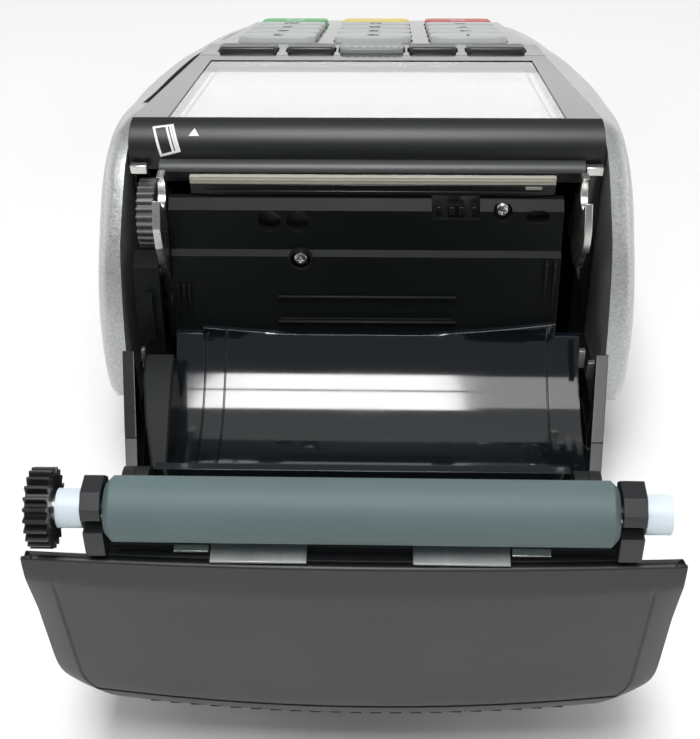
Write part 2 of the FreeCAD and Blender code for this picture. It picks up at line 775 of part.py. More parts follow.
def make_paper_tray():
    """The round-bottomed tray that the roll lies in, with its bowed front lip and rear rib."""
    front, rear = d.bay_front, bay_rear
    outer = bay_radius + d.tray_wall
    trough = prism("trough", "YZ", [
        (front, bay_arc_z(front, bay_radius), bay_y, bay_z - bay_radius),
        (rear, bay_arc_z(rear, bay_radius)),
        (rear, bay_arc_z(rear, outer), bay_y, bay_z - outer),
        (front, bay_arc_z(front, outer)),
    ], -d.tray_left, d.tray_right)
    rib = box("tray_rib", (-d.tray_left, d.tray_right), (rear - 1.6, rear),
              (bay_arc_z(rear, outer) + 0.6, d.tray_rear_top))
    lip = prism("tray_lip", "XZ", [
        (-28.6, 25), (24.6, 25), (24.6, d.tray_lip_right, 0, d.tray_lip_low), (-28.6, d.tray_lip_left),
    ], front - 1.4, front + 0.2)
    wedge = common("tray_wedge", prism("wedge_plan", "XY", [
        (31.0, 64), (36.0, 64), (36.0, 72), (33.4, 84), (31.0, 84)], 5, 70), prism("wedge_side", "YZ", [
            (66, 16), (84, 16), (84, 19.5), (70.5, 28.5), (66, 30.0)], 0, 50))
    limit = prism("tray_limit", "XY", wing_plan(d.wing_wall + 0.2, d.window_station, d.tail_reach), 5, 70)
    notches = [rod(f"lug_notch_{i}", "X", d.eye_radius + 1.35, (hinge_y, d.hinge_z), low, high)
               for i, (low, high) in enumerate(((-50, -(d.lug_inner - 0.2)), (d.lug_inner - 0.2, 50)))]
    return cut("tray_solid", common("tray_fit", fuse("tray_whole", trough, rib, lip, wedge), limit), *notches)


node("paper_tray", make_paper_tray())


BAY_SCREW = 1.25
BAY_SCREWS = [(-22.3, 48.9), (10.7, 40.9)]
SPRING_FLOOR = 38.2
SPRING_TOP = 43.2
SPRING_SPOTS = [(18, 45.6), (-20, 45.6)]
BAY_FACE = [(51.3, 50.6), (52.9, 49.2), (53.4, 42.0), (54.6, 41.4), (56.6, 27.0)]
BAY_BACK = [(54.8, 27.0), (52.8, 41.0), (51.6, 41.4), (51.1, 48.8), (50.1, 50.6)]


def make_bay_wall():
    """The wall between the bay and the works, with its holes, sensor recess and ledge."""
    solid = prism("bay_sheet", "YZ", BAY_FACE + BAY_BACK, -d.wall_half, d.wall_half)
    floor = box("bay_floor", (-d.wall_half, d.wall_half), (54.8, 56.8), (25.6, 27.0))
    holes = [rod(f"round_hole_{i}", "Y", 1.9, (x, 47.2), 45, 60) for i, x in enumerate((15.7, 11.0))]
    holes.append(fuse("oval_hole", box("oval_middle", (-28.8, -27.2), (45, 60), (47.1, 49.3)),
                      *[rod(f"oval_end_{i}", "Y", 1.1, (x, 48.2), 45, 60) for i, x in enumerate((-28.8, -27.2))]))
    holes.append(box("sensor_recess", (-18.6, -10.8), (50.0, 60), (47.8, 53)))
    recesses = [rod("upper_screw_recess", "Y", 1.6, BAY_SCREWS[0], 51.9, 60),
                rod("lower_screw_recess", "Y", 2.0, BAY_SCREWS[1], 54.0, 60)]
    pad = box("number_recess", (-14.5, 14.0), (56.0, 60), (30.0, 34.0))
    ways = [rod(f"bay_screw_way_{i}", "Y", BAY_SCREW, spot, 45, 60) for i, spot in enumerate(BAY_SCREWS)]
    shelf = box("spring_shelf", (-24, 22), (43.6, 54.2), (SPRING_FLOOR - 1.2, SPRING_FLOOR))
    return cut("bay_cut", fuse("bay_solid", solid, floor, shelf), *holes, *recesses, pad, *ways)


node("bay_wall", make_bay_wall())
node("paper_sensor", box("sensor_block", (-16.2, -13.4), (50.95, 52.3), (47.8, 49.9)))


def make_exit_lip():
    """The rounded lip over the print head, where the paper is torn."""
    back = d.head_face - 3.2
    leg = d.housing_rear
    ceiling = d.head_top + 0.25
    return prism("exit_lip_solid", "YZ", [
        (leg, 51.2), (leg, 53.4), (back, 53.4), (back, 55.6, back + 1.8, 55.5), (back + 2.5, 54.6),
        (back + 2.3, ceiling), (back + 0.6, ceiling), (back + 0.6, 52.4), (leg + 1.3, 52.4), (leg + 1.3, 51.2),
    ], -35.5, 33.6)


node("exit_lip", make_exit_lip())
node("cover_catches", group("catch_pair", [
    box("catch_right", (35.6, 38.4), (47.4, 49.5), (53.7, 56.1)),
    box("catch_left", (-38.4, -35.6), (47.4, 49.5), (53.7, 56.1))]))


def slot_tool(name, low, high):
    """The open slot that the roller's bush drops into, along the way the door swings."""
    reach = 12
    radius = d.bush_radius + d.slot_slack
    seat = rod(name + "_seat", "X", radius, (shut_roller_y, shut_roller_z), low, high)
    way = prism(name + "_way", "YZ", [(0, -radius), (reach, -radius), (reach, radius), (0, radius)], 0,
                sized(high) - low)
    way = place(group(name + "_turn", [way]), (low, shut_roller_y, shut_roller_z),
                bearing(d.roller_z, -roller_back))
    return fuse(name, seat, way)


def make_side_frame(name, low):
    """A steel plate at one end of the print head, with the bush's slot."""
    high = sized(low) + d.frame_thick
    plate = prism(name + "_plate", "YZ", [
        (42, 34), (55, 34), (59.6, 46.0), (60.2, 50.0), (57.5, 55.2), (50.4, 55.2), (50.4, 50), (42, 49),
    ], low, high)
    return cut(name + "_cut", plate, slot_tool(name + "_slot", low - 1, high + 1))


output_y = shut_roller_y - (d.roller_teeth + d.output_teeth) * d.tooth_module / 2 * cosine(
    bearing(d.roller_z, -roller_back))
output_z = shut_roller_z - (d.roller_teeth + d.output_teeth) * d.tooth_module / 2 * sine(
    bearing(d.roller_z, -roller_back))
idler_y = output_y + (d.output_teeth + d.idler_teeth) * d.tooth_module / 2 * cosine(d.idler_bearing)
idler_z = output_z + (d.output_teeth + d.idler_teeth) * d.tooth_module / 2 * sine(d.idler_bearing)
pinion_y = idler_y + (d.idler_teeth + d.pinion_teeth) * d.tooth_module / 2 * cosine(d.pinion_bearing)
pinion_z = idler_z + (d.idler_teeth + d.pinion_teeth) * d.tooth_module / 2 * sine(d.pinion_bearing)


def make_right_frame():
    """The right frame also carries the axles of the gear train."""
    plate = make_side_frame("frame_right", d.frame_right)
    tail = box("frame_tail", (d.frame_right, d.frame_right + d.frame_thick), (44, 55), (25, 35))
    axles = [rod(f"axle_{i}", "X", d.axle_radius, spot, d.frame_right, d.gear_outer + 0.3)
             for i, spot in enumerate(((output_y, output_z), (idler_y, idler_z)))]
    way = rod("motor_way", "X", d.axle_radius + 0.6, (pinion_y, pinion_z), d.frame_right - 1, d.gear_inner)
    return cut("right_frame", fuse("right_frame_solid", plate, tail, *axles), way)


node("side_frame_right", make_right_frame())
node("side_frame_left", make_side_frame("frame_left", -d.frame_left - d.frame_thick))


def gear_shape(teeth, bore, low, high, phase):
    """A spur gear along X with straight-flanked teeth, one of them at the phase angle."""
    module = DIMENSIONS["tooth_module"]
    pitch_radius = module * teeth / 2
    half_angles = (0.4 * module / (pitch_radius + module), 0.95 * module / (pitch_radius - 1.2 * module))
    points = []
    for tooth in range(teeth):
        middle = math.radians(phase + 360.0 * tooth / teeth)
        steps = ((-half_angles[1], -1.2), (-half_angles[0], 1.0), (half_angles[0], 1.0), (half_angles[1], -1.2))
        for turn, height in steps:
            radius = pitch_radius + height * module
            points.append(Vector(low, radius * math.cos(middle + turn), radius * math.sin(middle + turn)))
    face = Part.Face(Part.makePolygon(points + points[:1]))
    blank = face.extrude(Vector(high - low, 0, 0))
    return blank.cut(Part.makeCylinder(bore, high - low + 2, Vector(low - 1, 0, 0), Vector(1, 0, 0)))


def make_gear(name, teeth, bore, low, high, phase, spot):
    gear = doc.addObject("Part::Feature", name)
    gear.Shape = gear_shape(int(teeth.value), bore.value, low.value, high.value, phase.value)
    return place(gear, (0, *spot))


def meshed_phase(phase, teeth, line, other_teeth):
    """The phase of a gear whose teeth fall in the gaps of the gear it meets along a line."""
    own = (line - phase) * teeth / 360
    return line + 180 - (0.5 - own) * 360 / other_teeth


mesh_line = bearing(d.roller_z, -roller_back)
output_phase = sized(0)
roller_phase = meshed_phase(output_phase, d.output_teeth, mesh_line, d.roller_teeth)
idler_phase = meshed_phase(output_phase, d.output_teeth, d.idler_bearing, d.idler_teeth)
pinion_phase = meshed_phase(idler_phase, d.idler_teeth, d.pinion_bearing, d.pinion_teeth)
loose_bore = d.axle_radius + d.axle_slack
node("output_gear", make_gear("output", d.output_teeth, loose_bore, d.gear_inner, d.gear_outer, output_phase,
                              (output_y, output_z)))
node("reduction_gear", make_gear("idler", d.idler_teeth, loose_bore, d.gear_inner, d.gear_outer, idler_phase,
                                 (idler_y, idler_z)))


def make_motor_pinion():
    """The pinion with the motor's own shaft, which turns in the motor's bearing."""
    gear = make_gear("pinion", d.pinion_teeth, d.axle_radius, d.gear_inner, d.gear_outer, pinion_phase,
                     (pinion_y, pinion_z))
    shaft = rod("motor_shaft", "X", d.axle_radius, (pinion_y, pinion_z), 24, d.gear_outer)
    return fuse("pinion_solid", gear, shaft)


node("motor_pinion", make_motor_pinion())


def make_motor():
    can = rod("motor_can", "X", 6.4, (pinion_y, pinion_z), 14, 30)
    nose = rod("motor_nose", "X", 3.0, (pinion_y, pinion_z), 29, 32.2)
    plate = box("motor_plate", (29.6, 30.6), (pinion_y - 10, pinion_y + 6.2), (pinion_z - 3.4, pinion_z + 3.4))
    way = rod("motor_bearing", "X", d.axle_radius + d.axle_slack, (pinion_y, pinion_z), 23.9, 40)
    return cut("motor_solid", fuse("motor_body", can, nose, plate), way)


node("stepper_motor", make_motor())


def make_gear_cover():
    """The black box over the gear train, open towards the works."""
    outer = prism("gear_box", "YZ", [(46, 20), (60.0, 20), (60.0, 30), (58.4, 41.6), (54.6, 42.6), (54.6, 41.2),
                                     (46, 38)], 33.8, 38.0)
    hollow = prism("gear_hollow", "YZ", [(40, 19), (58.6, 21.4), (58.6, 30), (57.2, 40.2), (53.8, 41.0), (40, 41)],
                   33.7, 37.8)
    bar = box("cover_bar", (35.0, 36.6), (58.6, 60.6), (28, 37))
    return cut("gear_cover_cut", fuse("gear_cover_solid", outer, bar), hollow)


node("gear_cover", make_gear_cover())


def make_print_head():
    """The ceramic strip with the driver cover below the heater line."""
    strip = box("strip", (-d.head_left, d.head_right), (d.head_face - d.head_thick, d.head_face),
                (d.head_bottom, d.head_top))
    cover = box("driver_cover", (-d.head_left, d.head_right), (d.head_face - 0.1, d.head_face + 0.3),
                (d.head_bottom, d.head_top - 2.4))
    return fuse("print_head_solid", strip, cover)


node("print_head", make_print_head())


def make_heatsink():
    back = d.head_face - d.head_thick
    plate = box("sink_plate", (-d.head_left, d.head_right), (back - d.sink_thick, back), (d.sink_bottom, d.head_top))
    barrel = rod("sink_barrel", "X", 1.6, (back - d.sink_thick / 2, d.sink_bottom), -d.head_left, d.head_right)
    tabs = [box(f"sink_tab_{i}", (x - 2.4, x + 2.4), (y - 2.0, back - d.sink_thick), (SPRING_TOP, SPRING_TOP + 1))
            for i, (x, y) in enumerate(SPRING_SPOTS)]
    return fuse("sink_solid", plate, barrel, *tabs)


node("head_heatsink", make_heatsink())


def make_spring(name, across, along):
    """A small upright coil spring of square wire under a tab of the heat sink."""
    coil, wire, turns, steps = 1.5, 0.4, 4, 12
    tall = SPRING_TOP - SPRING_FLOOR - wire
    rings = []
    for step in range(turns * steps + 1):
        angle = 2 * math.pi * step / steps
        level = SPRING_FLOOR + tall * step / (turns * steps)
        rings.append([Vector(across + radius * math.cos(angle), along + radius * math.sin(angle), level + up)
                      for radius, up in ((coil - wire / 2, 0), (coil + wire / 2, 0),
                                         (coil + wire / 2, wire), (coil - wire / 2, wire))])
    faces = [rings[0], rings[-1][::-1]]
    for ring, follower in zip(rings, rings[1:]):
        for index in range(4):
            after = (index + 1) % 4
            faces.append([ring[index], follower[index], follower[after]])
            faces.append([ring[index], follower[after], ring[after]])
    spring = doc.addObject("Part::Feature", name)
    shell = Part.Shell([Part.Face(Part.makePolygon(face + face[:1])) for face in faces])
    spring.Shape = Part.Solid(shell)
    return spring


node("head_springs", group("spring_pair", [make_spring(f"spring_{i}", *spot)
                                           for i, spot in enumerate(SPRING_SPOTS)]))


def make_card_reader():
    """The chip card reader: a flat block with the card's slot, in the nose."""
    block = box("reader_block", (-29, 29), (-(d.nose_reach - 5), -38), (d.foot_drop + d.shell_floor, 12.4))
    slot = box("reader_slot", (-27.2, 27.2), (-d.nose_reach, -40), (7.4, 8.8))
    mouth = prism("reader_mouth", "YZ", [(-d.nose_reach, 5.4), (-(d.nose_reach - 9), 7.4),
                                         (-(d.nose_reach - 9), 8.8), (-d.nose_reach, 11.0)], -27.2, 27.2)
    return cut("reader_cut", block, slot, mouth)


node("card_reader", make_card_reader())


def make_modular_jacks():
    """Three sockets behind the rear wall, each with its open mouth."""
    back = d.tail_reach - d.shell_wall
    jacks = []
    for i, x in enumerate(JACK_PLACES):
        body = box(f"jack_{i}", (x - d.jack_width / 2 + 0.3, x + d.jack_width / 2 - 0.3), (back - d.jack_depth, back),
                   (d.foot_drop + d.shell_floor, d.jack_sill + d.jack_height - 0.2))
        mouth = box(f"jack_mouth_{i}", (x - 4.9, x + 4.9), (back - 9, back + 1), (5.0, 12.4))
        latch = box(f"jack_latch_{i}", (x - 2.2, x + 2.2), (back - 9, back + 1), (12.3, 14.0))
        jacks.append(cut(f"jack_solid_{i}", body, mouth, latch))
    return group("jack_row", jacks)


node("modular_jacks", make_modular_jacks())


def make_power_jack():
    back = d.tail_reach - d.shell_wall
    body = box("power_body", (POWER_PLACE - 4.8, POWER_PLACE + 4.8), (back - 12, back),
               (d.foot_drop + d.shell_floor, d.jack_sill + d.jack_height - 0.4))
    barrel = rod("power_barrel", "Y", 3.2, (POWER_PLACE, POWER_HEIGHT), back - 9, back + 1)
    pin = rod("power_pin", "Y", 1.0, (POWER_PLACE, POWER_HEIGHT), back - 9.5, back - 0.5)
    return fuse("power_solid", cut("power_cut", body, barrel), pin)


node("power_jack", make_power_jack())


def make_stripe_reader():
    """The magnetic head, sprung against the card's lane in the right-hand wall."""
    return box("stripe_head", (28.7, d.keypad_half + 0.3), STRIPE_Y, STRIPE_Z)


node("stripe_reader", make_stripe_reader())


def make_memory_door():
    door = box("door_plate", (HATCH_X[0] + 0.3, HATCH_X[1] - 0.3), (HATCH_Y[0] + 0.3, HATCH_Y[1] - 0.3),
               (d.foot_drop, d.foot_drop + 1.2))
    notch = rod("door_notch", "Z", 4, (0, HATCH_Y[1] + 1), d.foot_drop - 1, d.foot_drop + 0.6)
    return cut("door_cut", door, notch)


node("memory_door", make_memory_door())
node("rubber_feet", group("foot_set", [rod(f"foot_{i}", "Z", d.foot_radius, spot, 0, d.foot_drop + 0.8)
                                       for i, spot in enumerate(FOOT_SPOTS)]))


def screw(name, axis, spot, seat, tip, reach):
    """A round-headed screw whose head stands on its seat."""
    head_end = sized(seat) + (reach if reach > 0 else 0)
    head_start = sized(seat) + (0 if reach > 0 else reach)
    head = rod(name + "_head", axis, d.screw_head, spot, head_start, head_end)
    low, high = (tip, seat) if reach > 0 else (seat, tip)
    shank = rod(name + "_shank", axis, d.screw_radius - 0.05, spot, low, high)
    return fuse(name, head, shank)


def make_screws():
    under = [screw(f"base_screw_{i}", "Z", spot, d.foot_drop + 1.6, d.split_height - 1, -1.4)
             for i, spot in enumerate(SCREW_SPOTS)]
    bay = [rod(f"bay_screw_{i}", "Y", BAY_SCREW, spot, low, high)
           for i, (spot, (low, high)) in enumerate(zip(BAY_SCREWS, ((50.2, 52.0), (52.4, 54.6))))]
    return group("screw_set", under + bay)


node("housing_screws", make_screws())


def door_profile(wall):
    """Side outline of the shut door about the hinge, drawn in by a wall."""
    top = d.door_top - wall
    tail = d.door_tail - wall
    front = door_edge if not wall.value else door_edge + 6
    curve = [(-front, top), (-2.0, top, 7.33 - wall * 0.71, 31.93 - wall * 0.71), (tail, 22.6)]
    if wall.value:
        return curve + [(tail, -20), (-front, -20)]
    lining = tail - d.door_wall
    sheet = top - d.door_wall
    return curve + [
        (tail, d.door_tail_low), (lining, d.door_tail_low), (lining, skirt_line(lining)),
        (1.65 - door_edge, sheet), (-door_edge, sheet),
    ]


def skirt_line(y):
    """Height of the skirts' lower edge, which rises to the front."""
    return d.door_top - 0.9 - (y + door_edge) * d.skirt_slope


def door_plan(inset):
    wide = d.door_half - inset
    tail = d.door_tail - inset + (0.3 if not inset.value else 0)
    return [
        (wide, -60), (wide, -inset, wide - 2.1, 7.3 - inset), (wide - 7.6, tail),
        (-(wide - 7.6), tail, -(wide - 2.1), 7.3 - inset), (-wide, -inset), (-wide, -60),
    ]


def door_section(inset):
    """Cross section of the door: a crowned top that bends down a little near each side."""
    top = d.door_top - inset
    ridge = d.door_half - 3.0
    brow = top - d.door_crown
    return [
        (-60, -40), (60, -40), (60, brow - 2.0), (ridge, brow, 0, top), (-ridge, brow), (-60, brow - 2.0),
    ]


def make_door_shell():
    """The satin outer shell of the paper door, with its skirts and the lugs that hold its pins."""
    none = sized(0)
    outside = common("door_outside", prism("door_side", "YZ", door_profile(none), -60, 60),
                     prism("door_plan", "XY", door_plan(none), -40, 60),
                     prism("door_section", "XZ", door_section(none), -60, 30))
    inside = common("door_inside", prism("door_side_in", "YZ", door_profile(d.door_wall), -60, 60),
                    prism("door_plan_in", "XY", door_plan(d.door_skirt), -40, 60),
                    prism("door_section_in", "XZ", door_section(d.door_wall), -60, 30))
    lugs = []
    for name, near, far in (("lug_right", d.lug_inner, d.lug_outer), ("lug_left", -d.lug_outer, -d.lug_inner)):
        lugs.append(prism(name + "_arm", "YZ", [(0, -3.4), (10.0, 3.3), (10.0, 12.0), (0, 3.6)], near, far))
        lugs.append(rod(name + "_eye", "X", d.eye_radius, (0, 0), near, far))
    bore = rod("pin_seat", "X", d.pin_radius, (0, 0), -50, 50)
    return cut("door_shell", fuse("door_whole", cut("door_hollow", outside, inside), *lugs), bore)


def hang(item):
    """Puts a piece of the door, drawn about the hinge with the door shut, where it stands open."""
    return place(item, HINGE_FRAME, -d.open_angle)


node("cover_shell", hang(make_door_shell()))


def make_clip(name, low, high):
    """A hook that holds the roller's shaft, its mouth turned to the rear when the door is open."""
    grip = d.shaft_radius + d.clip_slack
    mouth = grip * 0.64
    depth = root(grip * grip - mouth * mouth)
    hook = prism(name + "_hook", "YZ", [
        (-3.2, -7.0), (0.4, -7.0), (1.0, -5.0), (3.2, -4.6), (3.2, -mouth), (depth, -mouth, -grip, 0),
        (depth, mouth), (3.2, mouth),
        (3.0, 2.4), (1.4, 3.8), (-1.6, 3.8), (-3.2, 2.2)], low, high)
    return place(group(name, [hook]), (0, roller_back, d.roller_z), d.open_angle)


def make_door_frame():
    """The black frame under the shell's front edge: a ledge, a rib behind the roller, two hooks."""
    low, high = -d.clip_left_outer, d.clip_right_outer
    ledge = -(door_edge + 0.9)
    bar = prism("door_bar", "YZ", [
        (ledge, 31.0), (ledge, 32.4), (ledge + 1, 32.4), (ledge + 1, 37), (ledge + 11, 37), (ledge + 11, 31.4),
        (ledge + 1.8, 31.0), (ledge + 1.8, 25), (ledge + 0.4, 25), (ledge + 0.4, 31.0)], low, high)
    under = prism("bar_limit", "XZ", door_section(d.door_wall), -60, 30)
    clips = [make_clip("clip_right", d.clip_right_inner, d.clip_right_outer),
             make_clip("clip_left", -d.clip_left_outer, -d.clip_left_inner)]
    return fuse("door_frame", common("door_bar_fit", bar, under), *clips)


node("cover_frame", hang(make_door_frame()))
node("cover_spring_plates", hang(group("spring_plates", [
    box(f"spring_plate_{i}", (x, x + wide), (-(door_edge + 1.1), -door_edge), (32.4, 32.4 + thick))
    for i, (x, wide, thick) in enumerate([(5.3, 11.4, 0.5), (16.9, 4.2, 0.9), (-18.6, 11.4, 0.5), (-23.4, 4.6, 0.9)])
])))
node("hinge_pins", hang(group("pin_pair", [
    rod("pin_right", "X", d.pin_radius, (0, 0), d.lug_inner, d.ear_outer),
    rod("pin_left", "X", d.pin_radius, (0, 0), -d.ear_outer, -d.lug_inner)])))
roller_spot = (roller_back, d.roller_z)


def make_bushes():
    bushes = []
    for name, low in (("right", d.clip_right_outer + 0.2), ("left", -(d.clip_left_outer + 0.2) - d.bush_length)):
        high = low + d.bush_length
        body = rod(f"bush_{name}", "X", d.bush_radius, roller_spot, low, high)
        bore = rod(f"bush_bore_{name}", "X", d.shaft_radius + d.bush_slack, roller_spot, low - 1, high + 1)
        bushes.append(cut(f"bush_solid_{name}", body, bore))
    return group("bush_pair", bushes)


node("roller_bushes", hang(make_bushes()))
node("roller_shaft", hang(group("shaft_hung", [
    rod("shaft", "X", d.shaft_radius, roller_spot, -d.shaft_left, d.shaft_right)])))


def make_rubber():
    """The rubber sleeve, chamfered at its ends."""
    edge = 0.8
    body = doc.addObject("PartDesign::Body", "rubber_body")
    sketch = body.newObject("Sketcher::SketchObject", "rubber_profile")
    plane = next(item for item in body.Origin.OriginFeatures if item.Role == "XY_Plane")
    sketch.AttachmentSupport = [(plane, "")]
    sketch.MapMode = "FlatFace"
    spots = [(-d.rubber_left, d.shaft_radius), (d.rubber_right, d.shaft_radius),
             (d.rubber_right, d.roller_radius - edge), (d.rubber_right - edge, d.roller_radius),
             (-d.rubber_left + edge, d.roller_radius), (-d.rubber_left, d.roller_radius - edge)]
    flat = [Vector(sized(x).value, sized(y).value, 0) for x, y in spots]
    for index in range(len(flat)):
        sketch.addGeometry(Part.LineSegment(flat[index], flat[(index + 1) % len(flat)]))
    for index, (x, y) in enumerate(spots):
        follower = (index + 1) % len(spots)
        sketch.addConstraint(Sketcher.Constraint("Coincident", index, 2, follower, 1))
        for kind, size in (("DistanceX", sized(x)), ("DistanceY", sized(y))):
            rule = sketch.addConstraint(Sketcher.Constraint(kind, -1, 1, index, 1, size.value))
            bind(sketch, f"Constraints[{rule}]", size)
    turned = body.newObject("PartDesign::Revolution", "rubber_turned")
    turned.Profile = sketch
    turned.ReferenceAxis = (sketch, ["H_Axis"])
    turned.Angle = 360
    rubber = group("rubber_sleeve", [body])
    return place(rubber, (0, *roller_spot))


node("roller_rubber", hang(group("rubber_hung", [make_rubber()])))
node("roller_gear", hang(group("roller_gear_hung", [make_gear(
    "roller_gear_teeth", d.roller_teeth, d.shaft_radius, d.gear_inner, d.gear_outer, roller_phase, roller_spot)])))

doc.recompute()
for item in doc.Objects:
    if "Invalid" in item.State or "Error" in item.State:
        raise RuntimeError(f"{item.Name} failed: {item.State}")
for label, item in nodes.items():
    if item.Shape.isNull() or not item.Shape.isValid() or not item.Shape.Solids:
        raise RuntimeError(f"{label} has no valid solid")

os.makedirs("parts", exist_ok=True)
for label, item in nodes.items():
    item.Shape.exportStep(f"parts/{label}.step")
print(len(nodes), "pieces written")
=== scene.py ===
import math

import bmesh
import bpy
import numpy as np
from mathutils import Matrix, Vector


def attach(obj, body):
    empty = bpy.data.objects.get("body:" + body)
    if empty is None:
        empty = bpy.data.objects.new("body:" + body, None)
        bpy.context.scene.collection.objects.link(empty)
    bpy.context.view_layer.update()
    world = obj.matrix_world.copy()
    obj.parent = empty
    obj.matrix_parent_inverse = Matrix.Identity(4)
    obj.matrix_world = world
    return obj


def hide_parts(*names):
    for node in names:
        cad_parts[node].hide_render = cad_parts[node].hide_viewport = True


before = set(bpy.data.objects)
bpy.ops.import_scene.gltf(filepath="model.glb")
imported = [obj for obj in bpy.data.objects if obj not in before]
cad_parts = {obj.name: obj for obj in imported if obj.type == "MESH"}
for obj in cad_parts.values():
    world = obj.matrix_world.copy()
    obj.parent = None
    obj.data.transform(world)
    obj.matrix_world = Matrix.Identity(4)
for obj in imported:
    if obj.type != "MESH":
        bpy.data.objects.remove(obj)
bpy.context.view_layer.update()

# The counter top that the terminal stands on.
# A white matte laminate sheet, far wider than the view, so that it runs out of sight behind.


class Wire:
    """A value that varies over a surface. Arithmetic on it adds Math nodes to the same finish."""

    def __init__(self, finish, socket):
        self.finish = finish
        self.socket = socket

    def math(self, operation, *operands, clamp=False):
        settings = {"operation": operation, "use_clamp": clamp}
        return self.finish.add("ShaderNodeMath", settings, dict(enumerate(operands)))

    def __add__(self, other):
        return self.math("ADD", self, other)

    __radd__ = __add__

    def __sub__(self, other):
        return self.math("SUBTRACT", self, other)

    def __rsub__(self, other):
        return self.math("SUBTRACT", other, self)

    def __mul__(self, other):
        return self.math("MULTIPLY", self, other)

    __rmul__ = __mul__

    def clamped(self):
        return self.math("ADD", self, 0.0, clamp=True)


class Finish:
    """A material with one Principled shader. Lengths in it are millimetres on the real piece."""

    def __init__(self, name, **constants):
        self.material = bpy.data.materials.new(name)
        self.material.use_nodes = True
        self.tree = self.material.node_tree
        self.shader = self.tree.nodes["Principled BSDF"]
        for socket, value in constants.items():
            self.shader.inputs[socket.replace("_", " ")].default_value = value
        place = self.add("ShaderNodeTexCoord", {}, {}, "Object")
        self.place = self.add("ShaderNodeVectorMath", {"operation": "SCALE"}, {0: place, "Scale": 1000.0})

    def add(self, kind, settings, inputs, output=0):
        """Adds a node, sets it up, feeds its sockets with numbers or wires, and returns one output."""
        node = self.tree.nodes.new(kind)
        for name, value in settings.items():
            setattr(node, name, value)
        for key, value in inputs.items():
            self.feed(node.inputs[key], value)
        return Wire(self, node.outputs[output])

    def feed(self, socket, value):
        if isinstance(value, Wire):
            self.tree.links.new(value.socket, socket)
        else:
            socket.default_value = value

    def noise(self, size, detail=2.0, place=None):
        """Cloudy noise from 0 to 1 whose features are about `size` millimetres across."""
        inputs = {"Vector": place or self.place, "Scale": 1.0 / size, "Detail": detail}
        return self.add("ShaderNodeTexNoise", {}, inputs)

    def grains(self, size, output="Distance"):
        """Cells about `size` millimetres across."""
        return self.add("ShaderNodeTexVoronoi", {}, {"Vector": self.place, "Scale": 1.0 / size}, output)

    def axis(self, letter):
        """One coordinate of the place on the piece, in millimetres."""
        return self.add("ShaderNodeSeparateXYZ", {}, {0: self.place}, "XYZ".index(letter))

    def stretched(self, x, y, z):
        """The place scaled unevenly, for grain that runs one way."""
        return self.add("ShaderNodeVectorMath", {"operation": "MULTIPLY"}, {0: self.place, 1: (x, y, z)})

    def mixed(self, mask, first, second):
        """Colour `first` where the mask is 0 and `second` where it is 1."""
        inputs = {"Factor": mask, 6: first, 7: second}
        return self.add("ShaderNodeMix", {"data_type": "RGBA"}, inputs, 2)

    def edges(self, width):
        """0 on open faces, rising to 1 along the edges, over `width` millimetres."""
        soft = self.add("ShaderNodeBevel", {"samples": 4}, {"Radius": width / 1000.0})
        flat = self.add("ShaderNodeNewGeometry", {}, {}, "Normal")
        facing = self.add("ShaderNodeVectorMath", {"operation": "DOT_PRODUCT"}, {0: soft, 1: flat}, "Value")
        return ((1.0 - facing) * 6.0).clamped()

    def surface(self, colour=None, roughness=None, height=None, depth=0.01, rounding=0.12, **others):
        """Feeds the shader. Height is a wire from 0 to 1, and depth what it stands for in millimetres."""
        for socket, value in {"Base Color": colour, "Roughness": roughness, **others}.items():
            if value is not None:
                self.feed(self.shader.inputs[socket.replace("_", " ")], value)
        normal = self.add("ShaderNodeBevel", {"samples": 4}, {"Radius": rounding / 1000.0})
        if height is not None:
            inputs = {"Strength": 1.0, "Distance": depth / 1000.0, "Height": height, "Normal": normal}
            normal = self.add("ShaderNodeBump", {}, inputs)
        self.feed(self.shader.inputs["Normal"], normal)
        return self.material


def rgb(red, green, blue):
    """An opaque colour."""
    return (red, green, blue, 1.0)


def dress(material, *nodes):
    """Gives CAD nodes a material."""
    for name in nodes:
        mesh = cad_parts[name].data
        mesh.materials.clear()
        mesh.materials.append(material)


laminate = Finish("counter_laminate", Roughness=0.6)
laminate.surface(
    colour=laminate.mixed(laminate.noise(90.0, 3.0), rgb(0.89, 0.89, 0.88), rgb(0.93, 0.93, 0.92)),
    height=laminate.noise(0.8),
    depth=0.004,
    rounding=0.01,
)
counter_half = 1.6
counter_mesh = bpy.data.meshes.new("counter_top")
counter_mesh.from_pydata(
    [(-counter_half, -counter_half, 0), (counter_half, -counter_half, 0), (counter_half, counter_half, 0),
     (-counter_half, counter_half, 0)],
    [],
    [(0, 1, 2, 3)],
)
counter_top = bpy.data.objects.new("counter_top", counter_mesh)
counter_mesh.materials.append(laminate.material)
bpy.context.scene.collection.objects.link(counter_top)

# The camera and the studio light.
# The camera stands behind and above, where the photograph was taken, and looks at the open printer.
# Two boxes close overhead are mirrored in the tray, a long low one in front in the display.

camera_place = (-0.00448, 0.22347, 0.16529)
camera_data = bpy.data.cameras.new("camera")
camera_data.sensor_fit = "HORIZONTAL"
camera_data.sensor_width = 36.0
picture_width, focal_length = 700.0, 1367.7  # pixels
camera_data.lens = camera_data.sensor_width * focal_length / picture_width
camera_data.clip_start = 0.01
camera = bpy.data.objects.new("camera", camera_data)
bpy.context.scene.collection.objects.link(camera)
bpy.context.scene.camera = camera
facing_front = Matrix(((-1, 0, 0), (0, 0, 1), (0, -1, 0)))
yaw = Matrix.Rotation(math.radians(2.202), 3, "Y")
pitch = Matrix.Rotation(math.radians(-37.872), 3, "X")
roll = Matrix.Rotation(math.radians(0.849), 3, "Z")
right, up, forward = roll @ pitch @ yaw @ facing_front
camera.matrix_world = Matrix.Translation(camera_place) @ Matrix((right, up, -forward)).transposed().to_4x4()


